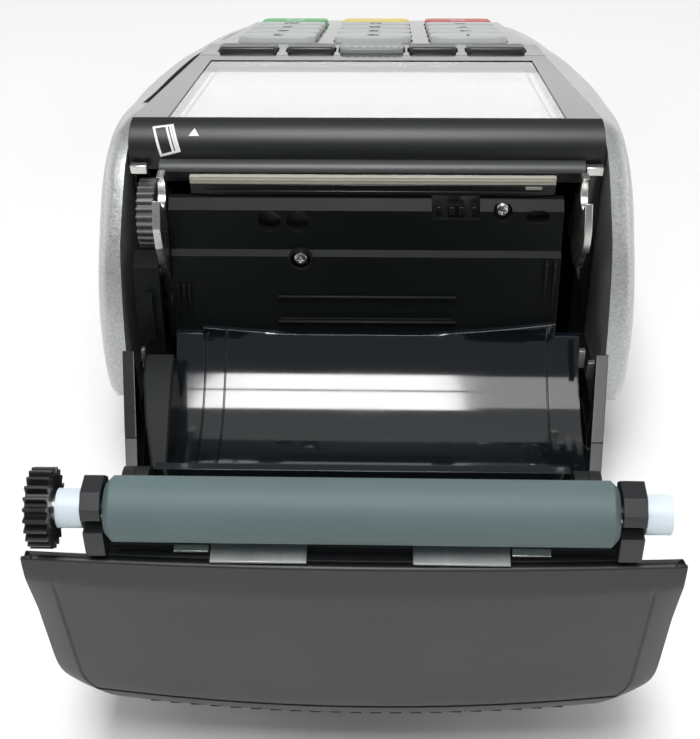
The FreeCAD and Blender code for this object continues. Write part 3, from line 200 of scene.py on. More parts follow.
def soft_box(name, place, aim, width, height, radiance):
    """A rectangular studio light that faces a point."""
    data = bpy.data.lights.new(name, "AREA")
    data.shape = "RECTANGLE"
    data.size = width
    data.size_y = height
    data.energy = radiance * math.pi * width * height
    light = bpy.data.objects.new(name, data)
    light.location = place
    light.rotation_euler = (Vector(place) - Vector(aim)).to_track_quat("Z", "Y").to_euler()
    light.visible_camera = False
    bpy.context.scene.collection.objects.link(light)


overhead = 0.64
soft_box("rear_overhead", (0.035, 0.36, overhead), (0.035, 0.36, 0), 0.17, 0.19, 17.0)
soft_box("front_overhead", (0.035, 0.15, overhead), (0.035, 0.15, 0), 0.17, 0.19, 17.0)
soft_box("side_overhead", (-0.11, 0.26, overhead), (-0.11, 0.26, 0), 0.11, 0.36, 3.0)
soft_box("ceiling", (0.0, 0.0, 1.7), (0, 0, 0), 2.2, 2.2, 0.45)
soft_box("right_light", (1.45, -0.1, 0.5), (0, 0, 0.05), 2.4, 0.9, 1.2)
soft_box("left_light", (-1.45, -0.1, 0.5), (0, 0, 0.05), 2.4, 0.9, 1.2)
soft_box("front_light", (0.0, -1.45, 0.17), (0, 0, 0.1), 2.4, 0.34, 1.5)
world = bpy.data.worlds.new("studio")
bpy.context.scene.world = world
world.use_nodes = True
world.node_tree.nodes["Background"].inputs["Color"].default_value = rgb(0.97, 0.99, 1.0)
world.node_tree.nodes["Background"].inputs["Strength"].default_value = 0.24
bpy.context.scene.view_settings.view_transform = "Standard"

# The lower shell, with the card reader in its nose and the sockets in its tail.
# Moulded in black ABS with a fine spark texture. Pieces are set out in millimetres from the line
# between the keypad and the display, which is origin_shift in front of the frame's origin.

origin_shift = 20.558


def moulded(name, colour, roughness, grain=0.09, depth=0.006, wear=0.35, rounding=0.2, **constants):
    """Moulded plastic: faint mottle, spark-eroded grain, paler rubbed edges."""
    finish = Finish(name, **constants)
    cloud = finish.noise(14.0, 4.0)
    rubbed = finish.edges(0.25) * finish.noise(1.6, 3.0) * wear
    base = finish.mixed(cloud, rgb(*(c * 0.86 for c in colour)), rgb(*(min(1, c * 1.16) for c in colour)))
    pale = rgb(*(min(1, c * 1.8 + 0.02) for c in colour))
    return finish.surface(
        colour=finish.mixed(rubbed, base, pale),
        roughness=(roughness + (cloud - 0.5) * 0.12 - rubbed * 0.1).clamped(),
        height=finish.noise(grain, 1.0),
        depth=depth,
        rounding=rounding,
    )


shell_black = moulded("shell_black", (0.010, 0.011, 0.013), 0.42)
dress(shell_black, "card_reader", "memory_door", "power_jack", "modular_jacks")


def skinned(rings, capped=True):
    """Points and faces of a skin over closed rings of equal count."""
    count = len(rings[0])
    points = [tuple(point) for ring in rings for point in ring]
    faces = []
    for row in range(len(rings) - 1):
        for index in range(count):
            after = (index + 1) % count
            faces.append((row * count + index, row * count + after,
                          (row + 1) * count + after, (row + 1) * count + index))
    if capped:
        faces += [tuple(range(count)), tuple(range((len(rings) - 1) * count, len(rings) * count))]
    return points, faces


def together(*shapes):
    """Several shapes as one list of points and one of faces."""
    points, faces = [], []
    for more_points, more_faces in shapes:
        faces += [tuple(index + len(points) for index in face) for face in more_faces]
        points += more_points
    return points, faces


def standing(x, y, z):
    """A place on the body, set out as the pieces are."""
    return Vector((x, y - origin_shift, z))


def piece(name, shape, material, body, slot, *stands_for, put=standing, bevel=0.0, sharp=38, sheet=0.0):
    """A part of the terminal from points in millimetres, riding on a body."""
    mesh = bpy.data.meshes.new(name)
    mesh.from_pydata([put(*point) / 1000 for point in shape[0]], [], shape[1])
    built = bmesh.new()
    built.from_mesh(mesh)
    bmesh.ops.remove_doubles(built, verts=built.verts, dist=0.000004)
    bmesh.ops.dissolve_degenerate(built, edges=built.edges, dist=0.000002)
    bmesh.ops.recalc_face_normals(built, faces=built.faces)
    built.to_mesh(mesh)
    built.free()
    part = bpy.data.objects.new(name, mesh)
    bpy.context.scene.collection.objects.link(part)
    mesh.materials.append(material)
    if sheet:
        wall = part.modifiers.new("wall", "SOLIDIFY")
        wall.thickness = sheet / 1000
        wall.offset = -1
    if bevel:
        eased = part.modifiers.new("eased", "BEVEL")
        eased.width = bevel / 1000
        eased.segments = 2
        eased.limit_method = "ANGLE"
        eased.angle_limit = math.radians(sharp)
    mesh.polygons.foreach_set("use_smooth", [True] * len(mesh.polygons))
    mesh.set_sharp_from_angle(angle=math.radians(sharp))
    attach(part, body)
    if stands_for:
        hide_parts(*stands_for)


# The tub is the solid's own, but its rim is drawn in at the corner beside each panel's tail.
corner_y, corner_reach = 58.0, 1.5
rim_level, wall_foot = 14.1, 3.0
outer_x, inner_x, solid_inner_x = 39.6, 37.6, 41.45
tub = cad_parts["base_shell"].data
tub_points = []
for corner in tub.vertices:
    x, y, z = corner.co * 1000
    y += origin_shift
    if abs(y - corner_y) < corner_reach and abs(x) > 40 and z < rim_level:
        inside = abs(abs(x) - solid_inner_x) < 0.4 and z > wall_foot
        x = math.copysign(inner_x if inside else outer_x, x)
    tub_points.append((x, y, z))
tub_faces = [tuple(face.vertices) for face in tub.polygons]
piece("lower_tub", (tub_points, tub_faces), shell_black, "base", "shell_black", "base_shell", sharp=30)

# The silver side panels.
# Moulded, then sprayed with a satin lacquer that holds fine aluminium flake. They bulge, roll over
# into the deck, and run out in a rounded tail beside the paper bay.

flake_paint = Finish("panel_silver", Metallic=0.7, Coat_Weight=0.3, Coat_Roughness=0.2)
flakes = flake_paint.grains(0.2, output="Color")
sparkle = flake_paint.add("ShaderNodeSeparateColor", {}, {0: flakes})
haze = flake_paint.noise(22.0, 3.0)
flake_paint.surface(
    colour=flake_paint.mixed(sparkle * 0.75 + haze * 0.25, rgb(0.36, 0.37, 0.36), rgb(0.58, 0.60, 0.59)),
    roughness=0.34 + sparkle * 0.14 - haze * 0.06,
    height=sparkle,
    depth=0.005,
    rounding=0.05,
)


def carried(table, places):
    """Rows of a table of numbers carried smoothly to places along it, with no overshoot."""
    table = np.array(table, float)
    steps = np.linalg.norm(np.diff(table, axis=0), axis=1)
    run = np.concatenate([[0], np.cumsum(steps)])
    rise = np.diff(table, axis=0) / steps[:, None]
    slope = np.zeros_like(table)
    slope[0], slope[-1] = rise[0], rise[-1]
    for row in range(1, len(table) - 1):
        before, after = rise[row - 1], rise[row]
        same = before * after > 0
        slope[row][same] = 2 * before[same] * after[same] / (before[same] + after[same])
    rows = []
    for place in np.asarray(places) * run[-1]:
        row = min(max(int(np.searchsorted(run, place)) - 1, 0), len(steps) - 1)
        part = (place - run[row]) / steps[row]
        start, end = table[row], table[row + 1]
        bend = slope[row] * steps[row], slope[row + 1] * steps[row]
        rows.append(start + (end - start) * part * part * (3 - 2 * part)
                    + bend[0] * part * (1 - part) ** 2 - bend[1] * part * part * (1 - part))
    return rows


pad_tilt = math.radians(20.2)
pad_front = (-78.5, 23.7)
display_tilt = math.radians(13.2)
display_rear = (43.1, 60.6)


def keypad_line(y):
    """How high the keypad's deck is at a place along the body."""
    return pad_front[1] + (y - pad_front[0]) * math.tan(pad_tilt)


def display_line(y):
    """How high the display's deck is at a place along the body."""
    return display_rear[1] - (display_rear[0] - y) * math.tan(display_tilt)


panel_foot = 14.2
panel_widest = 44.45
# Place along the body, inner and outer face, top, foot.
panel_stations = [
    (-83, 30.6, 35.2, keypad_line(-83) - 1.0, panel_foot),
    (-60, 31.2, 37.5, keypad_line(-60) - 0.6, panel_foot),
    (-30, 31.8, 39.4, keypad_line(-30) - 0.6, panel_foot),
    (-6, 34.0, 41.8, display_line(-6) - 0.6, panel_foot),
    (20, 36.5, panel_widest, display_line(20) - 0.6, panel_foot),
    (40, 38.4, panel_widest, display_line(40) - 1.2, panel_foot),
    (47, 38.9, panel_widest, 57.2, panel_foot),
    (53, 39.3, panel_widest, 51.6, panel_foot),
    (58.5, 39.7, 44.4, 43.4, 15.2),
    (62.5, 39.7, 43.7, 31.2, 18.0),
    (64.5, 39.7, 41.9, 20.6, 19.9),
]
# Share of the width that the outer face stands back, and share of the height.
panel_swell = [(0.3, 0.0), (0.11, 0.13), (0.02, 0.3), (0, 0.5), (0.015, 0.66), (0.1, 0.82), (0.4, 0.96),
               (1.0, 1.0)]
# Place along the body, and height of the card lane's floor.
lane_floors = [(-96, 10.5), (-83, 12.3), (-60, 17.7), (-15.7, 34.0), (24, 44.0), (34, 80.0)]


panel_gap = 0.15
lane_width = 1.6


def panel_rings(lane):
    """Cross sections of the right panel; the lane for the card's stripe is let in if asked for."""
    rings = []
    swell = carried(panel_swell, np.linspace(0, 1, 30))
    for y, inner, outer, high, low in carried(panel_stations, np.linspace(0, 1, 60)):
        inner += panel_gap
        ring = [(inner, low)] + [
            (outer - (outer - inner) * back, low + (high - low) * rise) for back, rise in swell]
        if lane:
            edge = inner + lane_width
            floor = max(float(np.interp(y, *zip(*lane_floors))), low + 0.3)
            rim = [point for point in ring[1:] if point[0] > edge]
            crest = ring[-12:]
            top = float(np.interp(-edge, [-x for x, _ in crest], [z for _, z in crest]))
            rim += [(edge, top)] * (len(ring) - 1 - len(rim))
            floor = min(floor, top)
            ring = ring[:1] + rim + [(edge, floor), (inner, min(floor, high))]
        rings.append([(x, y, z) for x, z in ring])
    return rings


piece("silver_panel_right", skinned(panel_rings(True)), flake_paint.material, "base", "panel_silver",
      "side_panel_right", sharp=50)
left_rings = [[(-x, y, z) for x, y, z in ring] for ring in panel_rings(False)]
piece("silver_panel_left", skinned(left_rings), flake_paint.material, "base", "panel_silver",
      "side_panel_left", sharp=50)

# The upper housing with its glossy deck, and the bezel that rolls down to the paper exit.
# Black ABS, polished, so that deck and bezel mirror what stands in front of them.

deck_black = moulded("deck_black", (0.008, 0.008, 0.009), 0.07, depth=0.0004, wear=0.12)
dress(deck_black, "top_housing")
bezel_gloss = Finish("bezel_black")
roll_start = 21.6
rolled = ((bezel_gloss.axis("Y") - roll_start) * 1.2).clamped()
mottle = bezel_gloss.noise(14.0, 4.0)
bezel_gloss.surface(
    colour=bezel_gloss.mixed(mottle, rgb(0.007, 0.008, 0.008), rgb(0.010, 0.011, 0.011)),
    roughness=0.12 + rolled * 0.30,
    height=bezel_gloss.noise(0.09, 1.0),
    depth=0.0004,
)
dress(bezel_gloss.material, "display_bezel")

# The marks on the bezel's rolled edge: a plain card outline and an arrow head beside the lane.
# Printed in white ink, a hair proud. They are set out across and round the roll.

white_ink = moulded("white_ink", (0.78, 0.79, 0.78), 0.5, depth=0.002, wear=0.0)
roll_centre = (42.685, 55.772)
roll_radius = 4.63
roll_top = math.radians(86)
ink_high, ink_low = 0.06, -0.05


def on_roll(x, drop, lift):
    """A place on the bezel's rolled edge, `drop` millimetres round it from the top."""
    angle = roll_top - drop / roll_radius
    reach = roll_radius + lift
    return x, roll_centre[0] + reach * math.cos(angle), roll_centre[1] + reach * math.sin(angle)


def printed(corners, steps=6):
    """A closed mark on the roll from its corners, cut into short runs so that it bends with the roll."""
    fine = []
    for (x0, d0), (x1, d1) in zip(corners, corners[1:] + corners[:1]):
        fine += [(x0 + (x1 - x0) * k / steps, d0 + (d1 - d0) * k / steps) for k in range(steps)]
    middle = (sum(x for x, _ in fine) / len(fine), sum(d for _, d in fine) / len(fine))
    lids = []
    for lift in (ink_high, ink_low):
        lids.append([on_roll(*spot, lift) for spot in fine] + [on_roll(*middle, lift)])
    count = len(fine)
    faces = []
    for index in range(count):
        after = (index + 1) % count
        faces += [(index, after, count), (count + 1 + index, count + 1 + after, 2 * count + 1),
                  (index, after, count + 1 + after, count + 1 + index)]
    return lids[0] + lids[1], faces


def stroke(start, end, width):
    """A straight printed line, cut across so that it bends with the roll."""
    along = Vector((end[0] - start[0], end[1] - start[1])).normalized() * width / 2
    side = Vector((-along.y, along.x))
    first, last = Vector(start) - along, Vector(end) + along
    rings = []
    for share in np.linspace(0, 1, 11):
        spot = first.lerp(last, share)
        left, right = spot + side, spot - side
        rings.append([on_roll(*left, ink_high), on_roll(*right, ink_high),
                      on_roll(*right, ink_low), on_roll(*left, ink_low)])
    return skinned(rings)


card_corners = [(34.6, 1.9), (31.6, 1.4), (30.4, 5.8), (33.4, 6.6)]
marks = [stroke(start, end, 0.42) for start, end in zip(card_corners, card_corners[1:] + card_corners[:1])]
marks += [stroke((32.55, 1.7), (31.35, 6.0), 0.4), stroke((32.0, 1.6), (30.8, 5.9), 0.34)]
arrow_head = [(28.9, 3.4), (27.9, 2.0), (27.1, 3.4)]
marks.append(printed(arrow_head))
piece("card_mark", together(*marks), white_ink, "base", "deck_black")

# The display: a pale grey-green cell under a clear window that is let into the bezel.
# The window is cast acrylic; it mirrors at a low angle and is clear from above.

cell = Finish("lcd_grey", Roughness=0.3)
dots = cell.grains(0.33)
cell.surface(colour=cell.mixed(dots, rgb(0.135, 0.152, 0.122), rgb(0.145, 0.163, 0.132)))
dress(cell.material, "lcd_module")
window = Finish("lens_clear", Metallic=1.0)
facing = window.add("ShaderNodeLayerWeight", {}, {"Blend": 0.5}, "Facing")
square = facing * facing
mirrored = 0.04 + square * square * facing * 0.9
window.surface(colour=rgb(1, 1, 1), roughness=0.02 + window.noise(30.0) * 0.03, Alpha=mirrored)
dress(window.material, "display_lens")

# The silicone mat under the keys, the circuit board under it, and the feet under the base.
# The mat is grey and lies on the board; the feet are black rubber, pressed into their seats.

dress(moulded("board_green", (0.02, 0.16, 0.07), 0.35), "main_board")
dress(moulded("mat_rubber", (0.16, 0.16, 0.17), 0.7), "keypad_mat")
dress(moulded("foot_rubber", (0.02, 0.02, 0.02), 0.8), "rubber_feet")

# The keys: moulded caps, dished a little on top and eased round their edges.
# A flange under the deck keeps each one in, and the mat's domes carry them. The legends are in a
# second plastic.

number_grey = moulded("key_grey", (0.40, 0.42, 0.41), 0.38)
soft_black = moulded("soft_key_black", (0.022, 0.022, 0.024), 0.32)
menu_grey = moulded("menu_grey", (0.20, 0.21, 0.21), 0.36)
key_tones = {
    "key_cancel": moulded("key_red", (0.50, 0.05, 0.04), 0.4),
    "key_clear": moulded("key_yellow", (0.72, 0.55, 0.06), 0.4),
    "key_enter": moulded("key_green", (0.05, 0.40, 0.12), 0.4),
}


def rounded(half_wide, half_deep, corner, steps=5):
    """A rectangle about its middle with round corners."""
    ring = []
    for quarter, (side, end) in enumerate(((1, 1), (-1, 1), (-1, -1), (1, -1))):
        for turn in np.radians(np.linspace(90 * quarter, 90 * quarter + 90, steps)):
            ring.append((side * (half_wide - corner) + corner * math.cos(turn),
                         end * (half_deep - corner) + corner * math.sin(turn)))
    return ring


def on_deck(base_y, base_z, tilt, middle_x, middle_v):
    """Places on a tilted deck: across, up the slope and out of it, about a key's middle."""
    def put(x, v, out):
        v += middle_v
        return standing(middle_x + x, base_y + v * math.cos(tilt) - out * math.sin(tilt),
                        base_z + v * math.sin(tilt) + out * math.cos(tilt))
    return put


cap_foot, flange_top = -3.2, -2.4


def key_cap(name, wide, deep, corner, proud, flange, put, material):
    """A key's cap, dished on top and eased at its edges, with the flange that keeps it in the deck."""
    rings = []
    for grow, level in (
        (flange, cap_foot), (flange, flange_top), (0.0, flange_top + 0.02), (0.0, proud - 0.42),
        (-0.10, proud - 0.2), (-0.28, proud - 0.06), (-0.6, proud), (-1.4, proud - 0.07),
        (-2.1, proud - 0.12),
    ):
        ring = rounded(wide / 2 + grow, deep / 2 + grow, max(corner + grow, 0.15))
        rings.append([(x, v, level) for x, v in ring])
    piece(name + "_cap", skinned(rings), material, name, "key_grey", name, put=put, sharp=60)


pad_rows = [{"cancel": "X", "clear": "<", "enter": "O"}, {"star": "*", "0": "0", "hash": "#"},
            {"7": "7", "8": "8", "9": "9"}, {"4": "4", "5": "5", "6": "6"}, {"1": "1", "2": "2", "3": "3"}]
pad_keys = [(f"key_{name}", sign, row, column) for row, line in enumerate(pad_rows)
            for column, (name, sign) in enumerate(line.items())]
pitch_across, pitch_up, first_row = 19.9, 13.0, 4.9
key_wide, key_deep, key_corner, key_proud, key_flange = 15.9, 9.8, 2.0, 1.35, 0.6
for name, _, row, column in pad_keys:
    put = on_deck(*pad_front, pad_tilt, pitch_across * (column - 1), first_row + pitch_up * row)
    key_cap(name, key_wide, key_deep, key_corner, key_proud, key_flange, put, key_tones.get(name, number_grey))

bend_y, soft_row_y = -15.68, -10.6
soft_row = (soft_row_y - bend_y) / math.cos(display_tilt)
soft_corner, soft_proud = 0.8, 0.95
soft_keys = [("soft_key_1", -24.6, 11.5, 4.6, soft_black), ("soft_key_2", -12.1, 9.4, 4.6, soft_black),
             ("soft_key_3", 12.1, 9.4, 4.6, soft_black), ("soft_key_4", 24.6, 11.5, 4.6, soft_black),
             ("key_menu", 0.0, 12.6, 5.6, menu_grey)]
for name, x, wide, deep, tone in soft_keys:
    put = on_deck(bend_y, display_line(bend_y), display_tilt, x, soft_row)
    key_cap(name, wide, deep, soft_corner, soft_proud, 0.0, put, tone)

# A row of small beads stands along the menu key's edge towards the display.
put = on_deck(bend_y, display_line(bend_y), display_tilt, 0.0, soft_row)
bead_step, bead_row = 1.55, 1.9
beads = []
for step in range(-3, 4):
    rings = []
    for reach, level in ((0.5, 0.8), (0.5, 1.0), (0.36, 1.1)):
        rings.append([(step * bead_step + reach * math.cos(turn), bead_row + reach * math.sin(turn), level)
                      for turn in np.linspace(0, 2 * math.pi, 16, endpoint=False)])
    beads.append(skinned(rings))
piece("menu_beads", together(*beads), number_grey, "key_menu", "key_grey", put=put)

legend_white = moulded("legend_white", (0.75, 0.76, 0.75), 0.5, depth=0.002, wear=0.0)
legend_black = moulded("legend_black", (0.02, 0.02, 0.02), 0.5, depth=0.002, wear=0.0)
legend_level = key_proud - 0.12
for name, sign, row, column in pad_keys:
    legend = name.replace("key_", "legend_")
    text = bpy.data.curves.new(legend, "FONT")
    text.body = sign
    text.size = 0.0062
    text.extrude = 0.00004
    text.align_x = text.align_y = "CENTER"
    text.materials.append(legend_white if name in key_tones else legend_black)
    mark = bpy.data.objects.new(legend, text)
    bpy.context.scene.collection.objects.link(mark)
    put = on_deck(*pad_front, pad_tilt, pitch_across * (column - 1), first_row + pitch_up * row)
    mark.location = put(0, 0, legend_level) / 1000
    mark.rotation_euler = (pad_tilt, 0, 0)
    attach(mark, name)

# The paper tray.
# Glossy black polystyrene, round-bottomed, with a thin bowed lip in front, a rib behind, the mould's
# part lines running round it, and the rings of two ejector pins. The wedge at its right guides the roll.

tray_black = moulded("tray_black", (0.004, 0.006, 0.008), 0.10, depth=0.0004, wear=0.1, Coat_Weight=0.5,
                     Coat_IOR=1.5, Coat_Roughness=0.06)
arc_centre = (76.5, 38.0)
arc_inner, arc_outer = 20.3, 22.1


def arc_height(y, radius):
    """How high a round about the tray's centre is at a place along the bay."""
    return arc_centre[1] - math.sqrt(radius * radius - (y - arc_centre[0]) ** 2)


def tray_side(y):
    """How far out the tray may reach at a place along the bay."""
    return float(np.interp(y, [66.0, 79.0, 90.0], [37.6, 36.0, 34.7]))


lip_low, lip_back, lip_front = 25.2, 57.2, 58.4
lip_left, lip_right = -31.8, 27.4
rib_half, rib_high, rib_thick = 31.6, 25.7, 1.45
rib_rear, side_rear = 88.3, 86.3


def tray_ring(x, sunk):
    """One section of the tray, from the lip down the bowl and up the rear rib, and back underneath."""
    beside_rib = abs(x) > rib_half
    rear = side_rear if beside_rib else rib_rear
    inner = [(y, arc_height(y, arc_inner + sunk)) for y in np.linspace(lip_front + 0.2, rear, 44)]
    top = inner[-1][1] + 0.05 if beside_rib else rib_high
    rib = [(rear, top), (rear + (0.05 if beside_rib else rib_thick), top)]
    outer = [(y, arc_height(y, arc_outer)) for y in np.linspace(rib[1][0], lip_front + 0.3, 24)]
    rim = 28.1 + 0.0018 * max(0.0, x) ** 2 + 0.0026 * min(0.0, x) ** 2
    if not lip_left <= x <= lip_right:
        rim = min(rim, inner[0][1] + 0.02)
    lip = [(lip_back, lip_low), (lip_back, rim - 0.3), (lip_back + 0.3, rim), (lip_front, rim)]
    return lip + inner + rib + outer


seam_depths = {27.0: 0.22, 23.6: 0.14, -30.6: 0.16}
tray_stations = [(x, 0.0) for x in np.linspace(-35.9, 31.9, 60)]
for seam, sunk in seam_depths.items():
    tray_stations += [(seam - 0.16, 0.0), (seam - 0.05, sunk), (seam + 0.05, sunk), (seam + 0.16, 0.0)]
for step in (lip_left, lip_right, rib_half, -rib_half):
    tray_stations += [(step - 0.01, 0.0), (step + 0.01, 0.0)]
tray_rings = []
for x, sunk in sorted(tray_stations):
    tray_rings.append([(max(-tray_side(y), min(x, tray_side(y))), y, z) for y, z in tray_ring(x, sunk)])
piece("tray_bowl", skinned(tray_rings), tray_black, "base", "deck_black", "paper_tray", sharp=30)


def ejector_ring(x, y, radius, start=0.0, end=360.0):
    """The faint raised ring that an ejector pin leaves in the bowl, or a part of it."""
    bearing = math.atan2(y - arc_centre[0], math.sqrt(arc_inner ** 2 - (y - arc_centre[0]) ** 2))
    rings = []
    for turn in np.radians(np.linspace(start, end, 49)):
        rings.append([])
        for reach, lift in ((radius - 0.11, -0.03), (radius, 0.07), (radius + 0.11, -0.03)):
            swing = bearing + reach * math.sin(turn) / arc_inner
            depth = arc_inner - lift
            rings[-1].append((x + reach * math.cos(turn), arc_centre[0] + depth * math.sin(swing),
                              arc_centre[1] - depth * math.cos(swing)))
    return skinned(rings, capped=(end - start) < 359)


pin_marks = together(ejector_ring(-27.6, 76.6, 2.5), ejector_ring(-34.0, 76.3, 2.9, 90, 250))
piece("ejector_rings", pin_marks, tray_black, "base", "deck_black")

wall_black = moulded("wall_black", (0.005, 0.006, 0.0065), 0.5, depth=0.003, rounding=0.1,
                     Specular_IOR_Level=0.16)
wedge_inner = 31.0
# Place along the bay, outer face, foot, top.
wedge_stations = [(66.0, 35.9, 16.5, 29.8), (70.5, 35.9, 16.5, 28.4), (77.0, 35.0, 16.5, 24.4),
                  (83.8, 33.4, 16.8, 19.7)]
wedge_rings = [[(wedge_inner, y, low), (outer, y, low), (outer, y, high), (wedge_inner, y, high)]
               for y, outer, low, high in wedge_stations]
piece("roll_guide", skinned(wedge_rings), wall_black, "base", "deck_black", bevel=0.35)

# The wall of the bay behind the tray, with the exit lip over it.
# Matte black, ribbed at its sides, with a bare recessed panel near its foot.

dress(wall_black, "bay_wall", "gear_cover", "paper_sensor")
dress(moulded("lip_grey", (0.035, 0.039, 0.037), 0.40), "exit_lip")
bay_black = moulded("bay_black", (0.006, 0.007, 0.008), 0.42, depth=0.002, rounding=0.1,
                    Specular_IOR_Level=0.3)


def block(across, along, high):
    """The shape of an upright block between its low and high places."""
    corners = [(across[0], along[0]), (across[1], along[0]), (across[1], along[1]), (across[0], along[1])]
    return skinned([[(x, y, z) for x, y in corners] for z in high])


right_ribs = [block((x - 0.16, x + 0.16), (55.4, 56.35), (28.5, 36.5)) for x in (31.3, 30.3, 29.4)]
left_ribs = [block((x - 0.2, x + 0.2), (54.6, 55.9), (30.0, 41.0)) for x in (-31.2, -29.8)]
recess_sides = (-15.2, 14.7)
recess_edges = [block(recess_sides, (56.2, 56.75), (29.3, 29.75)),
                block(recess_sides, (55.9, 56.35), (34.2, 34.6))]
wall_lines = together(*right_ribs, *left_ribs, *recess_edges)
piece("wall_ribs", wall_lines, bay_black, "base", "deck_black", bevel=0.08)

# The paper sensor: a small block with two windows, on its bit of board in the wall's recess.
# Black moulded posts hold it from both sides.

lamps = [block((x, x + 0.9), (51.6, 52.6), (48.2, 49.7)) for x in (-16.1, -14.5)]
posts = [block((x, x + 0.8), (50.4, 52.2), (47.9, 49.5)) for x in (-18.2, -12.4)]
piece("sensor_posts", together(*lamps, *posts), bay_black, "base", "deck_black", bevel=0.1)

# Screws: pan heads with a cross recess, bright nickel.
# Two hold the bay wall and four, under the base, hold the shells together.


def bright_metal(name, colour, roughness, along=(1, 1, 1), grain=0.12):
    """Metal with fine brush lines. The lines run along the axis with the smallest factor."""
    finish = Finish(name, Metallic=1.0)
    lines = finish.noise(grain, 3.0, finish.stretched(*along))
    smudge = finish.noise(6.0, 3.0)
    return finish.surface(
        colour=finish.mixed(lines, rgb(*(c * 0.82 for c in colour)), rgb(*colour)),
        roughness=(roughness + (smudge - 0.5) * 0.2 + (lines - 0.5) * 0.1).clamped(),
        height=lines,
        depth=0.0015,
        rounding=0.08,
    )


bright_steel = bright_metal("bright_steel", (0.72, 0.71, 0.69), 0.28)


def cross_screw(radius, height, shank, shank_length):
    """A pan head about Z with a cross let into it, and its shank below."""
    turns = np.linspace(0, 2 * math.pi, 48, endpoint=False)
    cross, arm = radius * 0.52, radius * 0.14
    profile = [(shank, -shank_length), (shank, 0.0), (radius, 0.0), (radius, height * 0.45),
               (radius * 0.86, height * 0.8), (radius * 0.62, height * 0.96)]
    rings = [[(reach * math.cos(a), reach * math.sin(a), level) for a in turns] for reach, level in profile]
    for outer, level in ((cross, height * 0.98), (cross * 0.8, height * 0.3)):
        ring = []
        for a in turns:
            off = min(abs(math.sin(a)), abs(math.cos(a)))
            reach = min(outer, arm * 1.05 / max(off, 0.02)) if off > 0.02 else outer
            reach = max(reach, arm * 1.3)
            ring.append((reach * math.cos(a), reach * math.sin(a), level))
        rings.append(ring)
    return skinned(rings)


def facing_rear(x, y, z):
    """Where a screw in the bay's wall stands, its head towards the rear."""
    return lambda a, b, c: standing(x + a, y + c, z - b)


def facing_down(x, y, z):
    """Where a screw in the base stands, its head down."""
    return lambda a, b, c: standing(x + a, y + b, z - c)


wall_screw = cross_screw(1.22, 0.7, 0.8, 1.0)
piece("wall_screw_upper", wall_screw, bright_steel, "base", "steel", "housing_screws",
      put=facing_rear(-22.3, 51.55, 48.9), sharp=45)
piece("wall_screw_lower", wall_screw, bright_steel, "base", "steel",
      put=facing_rear(10.7, 54.0, 40.9), sharp=45)
base_screw_level = 3.1
for index, (x, y) in enumerate([(31.8, -56), (-31.8, -56), (35, 40), (-35, 40)]):
    piece(f"base_screw_{index}", cross_screw(2.4, 1.4, 1.25, 9.6), bright_steel, "base", "steel",
          put=facing_down(x, y, base_screw_level), sharp=45)

# The moulded rim that stands round the lower screw of the wall.
rim_inner, rim_outer, rim_thick = 1.7, 2.05, 0.75
rim_x, rim_y, rim_z = 10.7, 54.2, 40.9
rim_top = rim_y + rim_thick
rim_rings = []
for turn in np.linspace(0, 2 * math.pi, 49):
    rim_section = ((rim_inner, rim_y), (rim_outer, rim_y), (rim_outer, rim_top), (rim_inner, rim_top))
    rim_rings.append([(rim_x + reach * math.cos(turn), level, rim_z + reach * math.sin(turn))
                      for reach, level in rim_section])
piece("screw_rims", skinned(rim_rings, capped=False), bay_black, "base", "deck_black")

# The works beside the bay: steel plates with the roller's slots, the gears and the motor.
# The plates are stamped, the gears moulded in grey acetal, and two bright catches stand beside the lip.

dress(moulded("gear_grey", (0.15, 0.155, 0.155), 0.42), "output_gear", "reduction_gear", "motor_pinion")
catches = [block(sides, (48.1, 49.45), (53.8, 55.35)) for sides in ((35.6, 38.4), (-38.4, -35.6))]
piece("catch_plates", together(*catches), bright_steel, "base", "steel", "cover_catches", bevel=0.15)
dress(bright_steel, "side_frame_right", "head_springs", "hinge_pins", "roller_shaft", "stripe_reader")
dress(bright_metal("sink_aluminium", (0.74, 0.74, 0.76), 0.42, (0.05, 1, 1)), "head_heatsink")
dress(bright_metal("motor_can", (0.48, 0.48, 0.50), 0.38), "stepper_motor")


def pushed(corners, low, high):
    """An outline of places along and up, pushed across from low to high."""
    return skinned([[(level, y, z) for y, z in corners] for level in (low, high)])


seat = Vector((54.55, 53.4))
seat_radius = 2.47
out_of_seat, beside_seat = Vector((0.632, 0.775)), Vector((-0.775, 0.632))
frame_line = [(60.2, 50.0), (58.16, 53.93)]
for turn in np.radians(np.linspace(-90, -270, 13)):
    reach = out_of_seat * math.cos(turn) + beside_seat * math.sin(turn)
    frame_line.append(tuple(seat + seat_radius * reach))
frame_line += [(52.83, 55.2), (50.8, 55.2), (50.4, 54.8), (50.4, 50), (42, 49), (42, 40), (48, 38.6),
               (52.0, 38.4), (54.6, 39.6), (56.2, 42.0), (57.2, 44.0), (59.4, 45.6), (60.1, 47.6)]
plate_left, plate_right = -35.8, -34.6
piece("frame_plate_left", pushed(frame_line, plate_left, plate_right), bright_steel, "base", "steel",
      "side_frame_left", bevel=0.12)

# Small tongues at the foot of the works, on both sides of the bay.
# Stamped and bent from nickel-plated sheet.

nickel_grey = bright_metal("nickel_grey", (0.40, 0.40, 0.39), 0.4)
tongues = [block((-35.9, -34.9), (65.2, 66.2), (27.6, 31.0)),
           block((-37.5, -36.5), (66.0, 67.0), (26.0, 29.2)),
           block((36.0, 36.6), (65.2, 66.2), (27.0, 30.6)),
           block((34.6, 35.4), (66.2, 67.2), (24.6, 26.4))]
piece("works_tongues", together(*tongues), nickel_grey, "base", "steel", bevel=0.08)

# The print head: a cream ceramic strip with its glazed heater line, and the black driver cover below.
# It leans on the roller when the door is shut, and gives on two springs.

